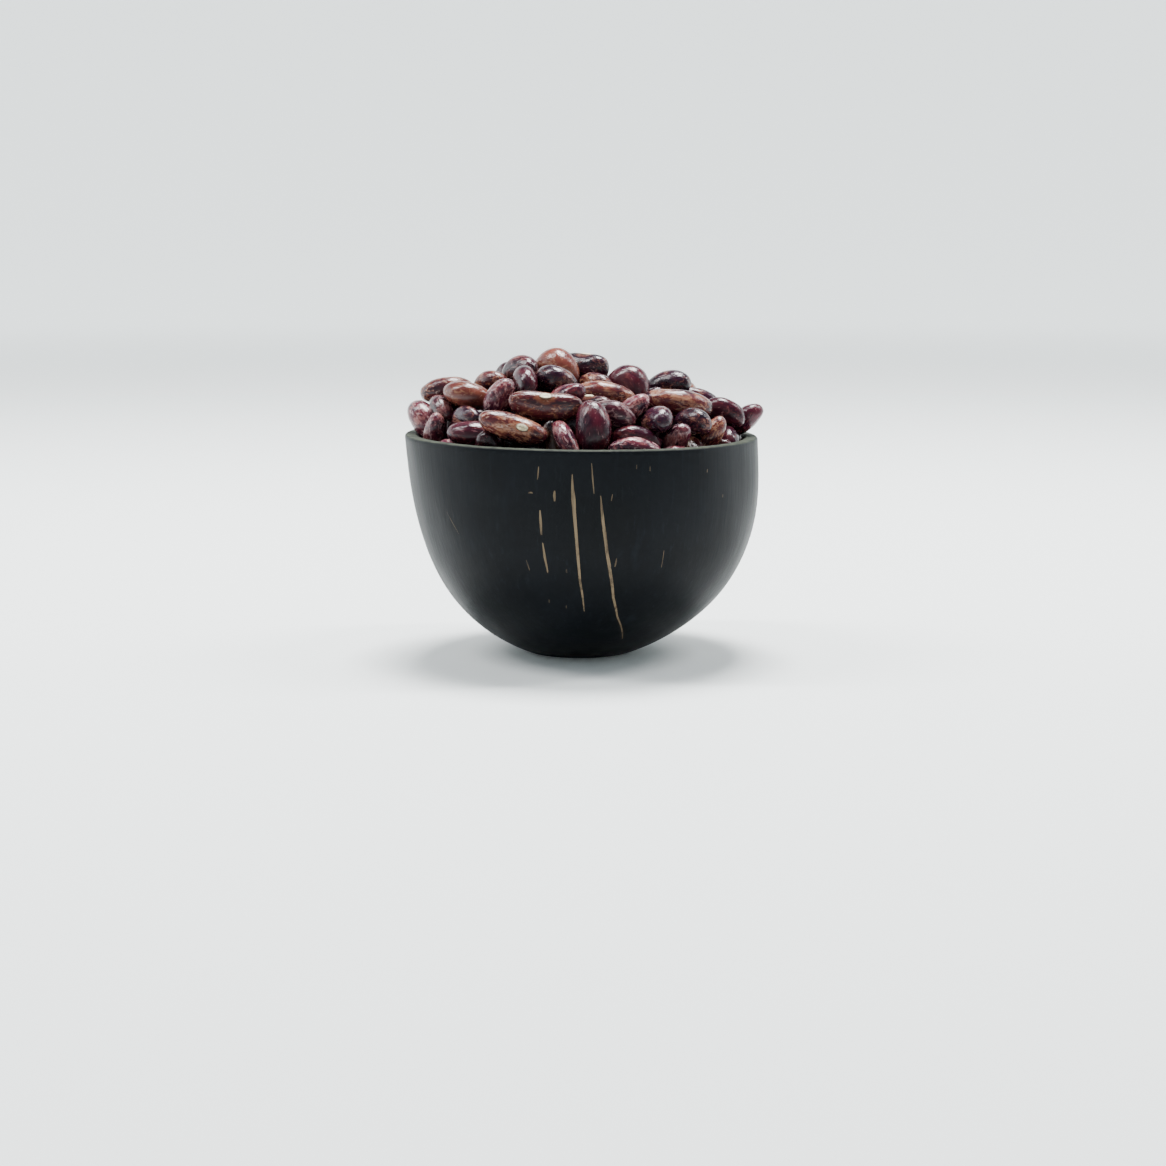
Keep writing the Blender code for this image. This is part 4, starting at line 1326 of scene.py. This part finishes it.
@dataclass
class BeanHeap:
    """All the beans: each kind in a piece of its own, their scars in another, over a core painted dark as
    shade.

    The last six fields are worked out when the beans are laid: those of the top layer, all of them, and the
    kind, the tone, which on the under layer is painted shade, the scar's place and the pattern's seed of each.
    """

    heap: Heap = field(default_factory=Heap)
    shape: BeanShape = field(default_factory=BeanShape)
    look_seed: int = 5
    fill_tones: Pair = (-0.8, 0.5)
    # Painted shade: the beans of the under layer get a darker skin, as if they lay in shadow.
    under_painted_shade: float = -1.5
    pattern_seeds: Pair = (0.0, 100.0)
    dent_depth: float = 0.0007
    dent_scale: float = 0.17
    core_sides: int = 72
    core_rings: int = 16
    core_wall_rings: int = 14
    core_wall_spacing: float = 1.5
    core_edge: float = 51.0
    core_depth: float = 7.6
    core_reach: float = 6.0
    top: BeanSet = field(init=False)
    beans: BeanSet = field(init=False)
    kinds: list[BeanKind] = field(init=False)
    tones: Array = field(init=False)
    scars: Array = field(init=False)
    seeds: Array = field(init=False)

    def lay(self) -> None:
        """Work out where every bean lies, and what kind each one is."""
        self.top = self.heap.top_layer()
        self.beans = self.top.joined(self.heap.under_layer(self.top))
        draw = np.random.default_rng(self.look_seed)
        count = len(self.beans.middles)
        front = len(FRONT_BEANS)
        names = list(FILL_KINDS)
        shares = np.array(list(FILL_KINDS.values()))
        drawn = draw.choice(len(names), count - front, p=shares / shares.sum())
        self.kinds = [bean.kind for bean in FRONT_BEANS] + [names[int(number)] for number in drawn]
        # Painted shade: every bean starts with the under layer's dark tone; the top layer's tones then replace
        # it.
        self.tones = np.full(count, self.under_painted_shade)
        self.tones[:front] = [bean.tone for bean in FRONT_BEANS]
        top = len(self.top.middles)
        self.tones[front:top] = draw.uniform(*self.fill_tones, top - front)
        self.scars = np.zeros(count)
        self.scars[:front] = [bean.scar_along for bean in FRONT_BEANS]
        self.seeds = draw.uniform(*self.pattern_seeds, count)

    def points_object(self, chosen: Array, middles: Array, sizes: Array) -> Thing:
        """Make the points that one piece is set out on.

        Args:
            chosen: Numbers of the beans.
            middles: Where each point lies, in millimetres.
            sizes: Scale of each point, as the tree takes it.

        Returns:
            An object of loose points with their attributes.
        """
        mesh = bpy.data.meshes.new("bean points")
        mesh.from_pydata([tuple(point * MM) for point in middles], [], [])
        frames = self.beans.frames[chosen].tolist()
        add_values(mesh, "turn", [tuple(Matrix(frame).to_euler("XYZ")) for frame in frames])
        add_values(mesh, "size", sizes)
        add_values(mesh, "bean_seed", self.seeds[chosen])
        add_values(mesh, "bean_tone_and_shade", self.tones[chosen])
        add_values(mesh, "bean_scar", self.scars[chosen])
        return add_object("bean points", mesh)

    def build_beans(self, scatter: BeanScatter, unit_bean: Thing) -> list[Thing]:
        """Make one piece for each kind of bean.

        Args:
            scatter: The tree that sets shapes out.
            unit_bean: The bean of unit size.

        Returns:
            The pieces.
        """
        values = {"Shape": unit_bean, "Place scale": 1.0 / MM}
        values |= {"Dent depth": self.dent_depth, "Dent scale": self.dent_scale}
        pieces = []
        for kind in BeanKind:
            chosen = np.array([number for number, own in enumerate(self.kinds) if own is kind])
            points = self.points_object(chosen, self.beans.middles[chosen], self.beans.sizes[chosen] * MM)
            skin = BEAN_SKINS[kind].build(kind.value + " skin")
            pieces.append(scatter.scatter(kind.value, points, values, skin))
        return pieces

    def build_scars(self, scatter: BeanScatter, one_scar: Thing) -> Thing:
        """Make the scars of the top layer, each set into the dent on its bean's inner side.

        Args:
            scatter: The tree that sets shapes out.
            one_scar: One scar at its real size.

        Returns:
            The piece.
        """
        chosen = np.arange(len(self.top.middles))
        lengths, widths, _ = self.beans.sizes[chosen].T
        along = self.scars[chosen]
        rises = np.array([self.shape.surface(math.acos(share), 0.0)[1] for share in 2.0 * along / lengths])
        frames = self.beans.frames[chosen]
        middles = self.beans.middles[chosen] + frames[:, :, 1] * (rises * widths)[:, None]
        middles = middles + frames[:, :, 0] * along[:, None]
        sizes = np.stack([widths / self.shape.scar_bean_width] * 3, axis=1)
        values = {"Shape": one_scar, "Dent depth": 0.0, "Dent scale": 1.0, "Place scale": 1.0 / MM}
        points = self.points_object(chosen, middles, sizes)
        return scatter.scatter("bean_scars", points, values, ScarSkin().build("bean scar"))

    def build_core(self) -> Thing:
        """Make the core, painted dark as shade, that closes the heap under both layers, inside the shell.

        Returns:
            The piece.
        """
        nut = self.heap.nut
        gap = self.heap.clearance
        shares = np.linspace(0.0, 1.0, self.core_wall_rings)[1:] ** self.core_wall_spacing
        wall = []
        for height in nut.floor + shares * (self.core_edge - nut.floor):
            wall.extend(ring_points(float(nut.inner_radius(height)) - gap, height + gap, self.core_sides))
        points = list(nut.lean_points(np.array(wall)))
        rim = float(nut.inner_radius(self.core_edge)) - gap
        for ring in range(1, self.core_rings):
            around = ring_points(rim * (1.0 - ring / self.core_rings), 0.0, self.core_sides)
            points.extend(self.core_point(across, deep) for across, deep, _ in around)
        rings = len(points) // self.core_sides
        points.append((0.0, 0.0, nut.floor + gap))
        points.append(self.core_point(0.0, 0.0))
        bottom, top = len(points) - 2, len(points) - 1
        core = add_mesh("bean_depths", points, tube_faces(0, rings, self.core_sides, bottom, top))
        core.data.materials.append(DeepFinish().build("deep shade"))
        return core

    def core_point(self, across: float, deep: float) -> Triple:
        """Find a point of the core's top, which lies under the middles of the top beans that are nearest.

        Args:
            across: Place to the right of the bowl's middle.
            deep: How far it lies behind it.

        Returns:
            The point.
        """
        middles = self.top.middles
        away = (across - middles[:, 0]) ** 2 + (deep - middles[:, 1]) ** 2
        weight = np.exp(-away / (2.0 * self.core_reach**2)) + LEAST_WEIGHT
        level = float(np.sum(weight * middles[:, 2]) / np.sum(weight)) - self.core_depth
        return (across, deep, max(level, self.core_edge))

    def build(self) -> list[Thing]:
        """Build every piece of the heap, attach each to the root body and hide the CAD node beans.

        Returns:
            The pieces.
        """
        self.lay()
        scatter = BeanScatter()
        unit_bean = self.shape.build_bean()
        one_scar = self.shape.build_scar()
        pieces = self.build_beans(scatter, unit_bean)
        pieces.append(self.build_scars(scatter, one_scar))
        pieces.append(self.build_core())
        for spare in (unit_bean, one_scar):
            bpy.data.objects.remove(spare, do_unlink=True)
        for piece in pieces:
            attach(piece, "root")
            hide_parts("beans")
        return pieces


# The bowl


@dataclass(frozen=True)
class Strand:
    """A tan fibre strand that shows in the shell: angle round from the front, height and width at each point.

    strength says how pale it is: 1 for a bare strand, and less where the black still covers part of it.
    """

    strength: float
    points: tuple[Triple, ...]


STRANDS = (
    Strand(1.0, (
        (-4.2, 54.6, 0.3), (-4.4, 51.0, 0.9), (-4.4, 48.1, 1.35), (-4.4, 44.4, 1.15), (-4.2, 39.6, 0.95),
        (-3.8, 32.1, 0.9), (-3.2, 26.2, 0.75), (-2.1, 21.3, 0.55), (-1.2, 17.0, 0.3),
    )),
    Strand(0.95, (
        (4.0, 49.0, 0.3), (4.2, 45.0, 0.8), (4.5, 41.5, 1.0), (5.6, 34.0, 1.0), (7.1, 28.2, 1.0),
        (9.4, 20.7, 0.8), (12.8, 15.1, 0.55), (21.2, 7.5, 0.3),
    )),
    Strand(0.6, ((1.9, 57.5, 0.3), (1.9, 53.5, 0.5), (2.0, 49.5, 0.3))),
    Strand(0.7, ((-14.4, 56.4, 0.3), (-14.7, 54.7, 0.5), (-15.1, 53.0, 0.3))),
    Strand(0.6, ((-18.5, 49.3, 0.4), (-17.7, 49.6, 0.6), (-16.9, 49.4, 0.4))),
    Strand(0.7, ((-10.0, 50.2, 0.5), (-10.2, 49.0, 0.95), (-10.3, 47.4, 0.5))),
    Strand(0.85, ((-15.1, 45.0, 0.4), (-15.2, 42.0, 0.9), (-15.3, 38.4, 0.6))),
    Strand(0.85, ((-15.1, 36.3, 0.4), (-14.8, 32.5, 0.8), (-14.2, 28.0, 0.45))),
    Strand(0.4, ((-21.4, 31.4, 0.3), (-21.0, 30.0, 0.45), (-20.6, 28.5, 0.3))),
    Strand(0.5, ((7.7, 49.4, 0.3), (7.2, 47.6, 0.35))),
    Strand(0.55, ((8.9, 32.2, 0.35), (8.8, 31.0, 0.6), (8.5, 29.8, 0.35))),
    Strand(0.5, ((25.2, 33.8, 0.25), (25.3, 29.0, 0.3))),
    Strand(0.3, ((15.8, 57.0, 0.3), (15.7, 55.8, 0.4))),
    Strand(0.3, ((20.1, 56.5, 0.3), (20.0, 55.2, 0.4))),
    Strand(0.3, ((-7.7, 29.2, 0.4), (-7.7, 28.2, 0.5))),
    Strand(0.25, ((-14.7, 20.4, 0.4), (-14.8, 19.4, 0.5))),
    Strand(0.25, ((-8.3, 18.8, 0.4), (-8.3, 17.8, 0.5))),
    Strand(0.4, ((41.1, 54.9, 0.4), (41.0, 54.0, 0.5))),
    Strand(0.25, ((48.3, 47.7, 0.4), (48.3, 46.8, 0.5))),
    Strand(0.3, ((-51.5, 42.6, 0.2), (-49.2, 39.6, 0.3), (-46.8, 36.6, 0.2))),
)


@dataclass
class CoconutBowl:
    """The bowl: a turned and sanded half shell with a sawn rim, a flat foot, and strands in its skin.

    Each wave of the hand sanding has its number round the shell, its twist per millimetre of height, its
    start and its share. Each row of a strand's section has its place across, in half widths, and its height.
    """

    nut: Nut = field(default_factory=Nut)
    sides: int = 240
    outer_rings: int = 84
    outer_spacing: float = 1.3
    inner_rings: int = 60
    inner_spacing: float = 1.8
    foot_ease: Pair = (0.8, 0.12)
    edge_round: float = 0.75
    edge_steps: int = 6
    rim_steps: int = 4
    hand_sanding: float = 0.10
    sanding_waves: tuple[tuple[float, float, float, float], ...] = (
        (3.0, 0.06, 0.0, 1.0), (7.0, -0.09, 1.3, 0.6), (11.0, 0.21, 0.4, 0.5),
    )
    sanding_start: float = 12.0
    strand_section: tuple[Pair, ...] = (
        (-1.5, 0.0), (-1.05, 0.5), (0.0, 1.0), (1.05, 0.5), (1.5, 0.0),
    )
    strand_lift: float = 0.035
    strand_sink: float = 0.06
    strand_step: float = 0.5
    strand_least_steps: int = 4
    strand_turn: float = 1.05
    strand_end: float = 0.6
    degree: float = 0.8

    def edge_points(self, middle: float, top: float, turns: Array) -> list[Pair]:
        """Round one edge of the rim about a middle radius and a height, at these angles from outwards."""
        ease = self.edge_round
        return [(middle + ease * math.cos(turn), top + ease * math.sin(turn)) for turn in turns]

    def outline(self) -> Array:
        """Draw the wall's section finely, with round edges at the rim and an eased one at the foot.

        Returns:
            Radius and height of each point.
        """
        nut = self.nut
        top = nut.height - self.edge_round
        in_by, up_by = self.foot_ease
        points = [(float(nut.outer_radius(0.0)) - in_by, 0.0)]
        for height in np.linspace(0.0, 1.0, self.outer_rings) ** self.outer_spacing * (top - up_by) + up_by:
            points.append((float(nut.outer_radius(height)), height))
        outer = float(nut.outer_radius(top)) - self.edge_round
        inner = float(nut.inner_radius(top)) + self.edge_round
        quarter = 0.5 * math.pi * np.arange(self.edge_steps + 1) / self.edge_steps
        points.extend(self.edge_points(outer, top, quarter[1:]))
        for step in range(1, self.rim_steps):
            points.append((outer + (inner - outer) * step / self.rim_steps, nut.height))
        points.extend(self.edge_points(inner, top, quarter[:-1] + 0.5 * math.pi))
        for share in np.linspace(0.0, 1.0, self.inner_rings)[:-1]:
            height = nut.floor + (1.0 - share) ** self.inner_spacing * (top - nut.floor)
            points.append((float(nut.inner_radius(height)), height))
        return np.array(points)

    def roughen(self, radius: float, height: float, turn: Numbers) -> Array:
        """Add the slow waves that sanding by hand leaves.

        Args:
            radius: Radius of the smooth shell.
            height: Height of the places.
            turn: Angle of each place round the shell.

        Returns:
            The radius at each place.
        """
        wave = sum(
            share * np.sin(number * turn + twist * height + start)
            for number, twist, start, share in self.sanding_waves
        )
        return radius + self.hand_sanding * wave * np.clip(height / self.sanding_start, 0.0, 1.0)

    def build_shell(self) -> Thing:
        """Make the shell.

        Returns:
            The piece.
        """
        outline = self.outline()
        turns = 2.0 * np.pi * np.arange(self.sides) / self.sides
        rings = []
        for radius, height in outline:
            rough = self.roughen(radius, height, turns)
            ring = [rough * np.cos(turns), rough * np.sin(turns), np.full(self.sides, height)]
            rings.append(np.stack(ring, axis=1))
        points = np.vstack(rings + [[[0.0, 0.0, 0.0], [0.0, 0.0, self.nut.floor]]])
        foot, floor = len(points) - 2, len(points) - 1
        faces = tube_faces(0, len(outline), self.sides, foot, floor)
        shell = add_mesh("coconut_shell", self.nut.lean_points(points), faces)
        for name in ("fibre", "fibre_strength"):
            add_values(shell.data, name, np.zeros(len(points)))
        return shell

    def shell_point(self, degrees: float, height: float, lift: float = 0.0) -> Array:
        """Find a place on the outside of the upright shell.

        Args:
            degrees: Angle round from the front, towards the right.
            height: Height of the place.
            lift: How far it stands off the surface.

        Returns:
            The point.
        """
        turn = math.radians(degrees - 90.0)
        radius = float(self.roughen(float(self.nut.outer_radius(height)), height, turn)) + lift
        return np.array([radius * math.cos(turn), radius * math.sin(turn), height])

    def strand_path(self, strand: Strand) -> tuple[Array, Array, Array]:
        """Set out even steps along a strand.

        Args:
            strand: The strand.

        Returns:
            The angle, the height and the width at each step.
        """
        rows = np.array(strand.points)
        steps = np.diff(rows[:, :2] * [self.degree, 1.0], axis=0)
        reach = np.cumsum([0.0] + [float(np.hypot(*step)) for step in steps])
        count = max(self.strand_least_steps, int(reach[-1] / self.strand_step))
        places = np.linspace(0.0, reach[-1], count)
        degrees, heights, widths = (np.interp(places, reach, column) for column in rows.T)
        return degrees + self.strand_turn, heights, widths

    def build_strands(self) -> Thing:
        """Make the strands: thin ribbons that lie in the skin, with their edges sunk into it.

        Returns:
            The piece.
        """
        points: list[Array] = []
        faces: Faces = []
        fibre: list[float] = []
        strength: list[float] = []
        wide = len(self.strand_section)
        for strand in STRANDS:
            degrees, heights, widths = self.strand_path(strand)
            line = np.array([self.shell_point(*place) for place in zip(degrees, heights)])
            start = len(points)
            last = len(line) - 1
            for number, middle in enumerate(line):
                along = line[min(number + 1, last)] - line[max(number - 1, 0)]
                sideways = unit(np.cross(along, unit(middle * [1.0, 1.0, 0.0])))
                end = min(1.0, self.strand_end + (1.0 - self.strand_end) * min(number, last - number))
                for offset, weight in self.strand_section:
                    spot = middle + sideways * offset * 0.5 * widths[number]
                    angle = math.degrees(math.atan2(spot[1], spot[0])) + 90.0
                    lift = self.strand_lift * weight - self.strand_sink * (1.0 - weight)
                    points.append(self.shell_point(angle, spot[2], lift))
                    fibre.append(weight * end)
                    strength.append(strand.strength)
            for number in range(last):
                for side in range(wide - 1):
                    corner = start + number * wide + side
                    faces.append((corner, corner + wide, corner + wide + 1, corner + 1))
        strands = add_mesh("fibre_strands", self.nut.lean_points(np.array(points)), faces)
        add_values(strands.data, "fibre", fibre)
        add_values(strands.data, "fibre_strength", strength)
        return strands

    def build(self) -> list[Thing]:
        """Build and dress the bowl's pieces, attach them to the root body and hide the CAD node bowl.

        Returns:
            The pieces.
        """
        finish = ShellFinish().build("blackened shell")
        pieces = [self.build_shell(), self.build_strands()]
        for piece in pieces:
            piece.data.materials.append(finish)
            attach(piece, "root")
            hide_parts("bowl")
        return pieces


# The stage


@dataclass(frozen=True)
class SoftLight:
    """A soft box: where it hangs, how large it is, what it points at, and how strong and warm it is."""

    name: str
    place: Triple
    width: float
    height: float
    power: float
    tint: Triple = (1.0, 1.0, 1.0)
    target: Triple = (0.0, 0.0, 0.05)

    def build(self) -> Thing:
        """Hang the light.

        Returns:
            The lamp.
        """
        data = bpy.data.lights.new(self.name, "AREA")
        data.shape = "RECTANGLE"
        data.size = self.width
        data.size_y = self.height
        data.energy = self.power
        data.color = self.tint
        lamp = add_object(self.name, data)
        lamp.location = self.place
        aim = Vector(self.target) - Vector(self.place)
        lamp.rotation_euler = aim.to_track_quat("-Z", "Y").to_euler()
        return lamp


@dataclass(frozen=True)
class FloorFinish(Finish):
    """A pale, dull floor that glows softly away from the bowl, more so behind it than in front."""

    tone: Triple = (226, 230, 229)
    cloud_tone: Triple = (200, 206, 206)
    cloud_share: float = 0.04
    clouds: Grain = Grain(3.0, 2.0)
    roughness: float = 0.75
    gloss: float = 0.2
    glow_tone: Triple = (221, 227, 227)
    glow_behind: float = 1.90
    glow_in_front: float = 0.17
    behind_range: Pair = (-1.2, 1.4)
    away_range: Pair = (0.5, 2.6)

    def inputs(self, tree: NodeTree) -> Inputs:
        """Cloud the floor faintly, and let it glow away from the bowl.

        Args:
            tree: The material's nodes.

        Returns:
            Value or socket for each input, by its name.
        """
        place = tree.object_place()
        clouds = tree.times(tree.noise(place, self.clouds), self.cloud_share)
        away = tree.length(tree.vector("MULTIPLY", place, (1.0, 1.0, 0.0)))
        behind = tree.step(tree.parts(place)[1], *self.behind_range)
        glow = tree.plus(tree.times(behind, self.glow_behind - self.glow_in_front), self.glow_in_front)
        return {
            "Base Color": tree.mix(clouds, self.tone, self.cloud_tone),
            "Roughness": self.roughness,
            "Specular IOR Level": self.gloss,
            "Emission Color": colour(*self.glow_tone),
            "Emission Strength": tree.times(glow, tree.step(away, *self.away_range)),
        }


@dataclass
class Studio:
    """A plain pale floor that turns up far away, soft light, and a camera where the photograph's was."""

    eye: Triple = (0.0009, -0.6478, 0.1181)
    look_down: float = 8.72
    lens: float = 72.0
    sensor: float = 36.0
    clip: Pair = (0.01, 50.0)
    floor_radius: float = 4.0
    floor_flat: float = 2.2
    floor_rise: float = 2.6
    floor_curve: float = 2.4
    floor_rings: int = 40
    floor_sides: int = 96
    sky_tone: Triple = (196, 214, 236)
    sky_power: float = 0.26
    lights: tuple[SoftLight, ...] = (
        SoftLight("ceiling panel", (0.05, 0.32, 1.15), 0.42, 0.42, 46.0),
        SoftLight("left strip", (-0.70, 0.05, 0.95), 0.10, 0.60, 12.0),
        SoftLight("right strip", (0.70, 0.15, 0.90), 0.10, 0.50, 9.0),
        SoftLight("left window", (-1.3, 0.35, 0.35), 0.7, 0.7, 5.0, (0.90, 0.95, 1.0)),
        SoftLight("right window", (1.3, 0.45, 0.35), 0.7, 0.7, 5.0, (0.90, 0.95, 1.0)),
    )

    def build_camera(self) -> Thing:
        """Set up the camera.

        Returns:
            The camera.
        """
        data = bpy.data.cameras.new("camera")
        data.lens = self.lens
        data.sensor_width = self.sensor
        data.sensor_fit = "HORIZONTAL"
        data.clip_start, data.clip_end = self.clip
        camera = add_object("camera", data)
        camera.location = self.eye
        camera.rotation_euler = (math.radians(90.0 - self.look_down), 0.0, 0.0)
        bpy.context.scene.camera = camera
        return camera

    def build_floor(self) -> Thing:
        """Make the floor, a wide dish that is flat in the middle and rises smoothly at its far edge.

        Returns:
            The floor.
        """
        sides = self.floor_sides
        points = [(0.0, 0.0, 0.0)]
        for ring in range(1, self.floor_rings + 1):
            radius = self.floor_radius * ring / self.floor_rings
            share = max(0.0, (radius - self.floor_flat) / (self.floor_radius - self.floor_flat))
            points.extend(ring_points(radius, self.floor_rise * share**self.floor_curve, sides))
        faces: Faces = [(0, 1 + side, 1 + (side + 1) % sides) for side in range(sides)]
        for ring in range(self.floor_rings - 1):
            faces.extend(ring_faces(1 + ring * sides, 1 + (ring + 1) * sides, sides))
        floor = add_mesh("floor", np.array(points) / MM, faces)
        floor.data.materials.append(FloorFinish().build("pale floor"))
        return floor

    def build(self) -> None:
        """Build the floor, the lights, the sky and the camera."""
        self.build_camera()
        self.build_floor()
        for light in self.lights:
            light.build()
        world = bpy.data.worlds.new("soft sky")
        world.use_nodes = True
        background = world.node_tree.nodes["Background"]
        background.inputs["Color"].default_value = colour(*self.sky_tone)
        background.inputs["Strength"].default_value = self.sky_power
        bpy.context.scene.world = world


# The scene as a whole


def main() -> None:
    logging.basicConfig(level=logging.INFO, format="%(name)s: %(message)s")
    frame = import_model()
    LOG.info("frame nodes %s", sorted(frame["nodes"]))
    pieces = CoconutBowl().build() + BeanHeap().build()
    for piece in pieces:
        LOG.info("%s has %d faces", piece.name, len(piece.data.polygons))
    Studio().build()


if __name__ == "__main__":
    main()
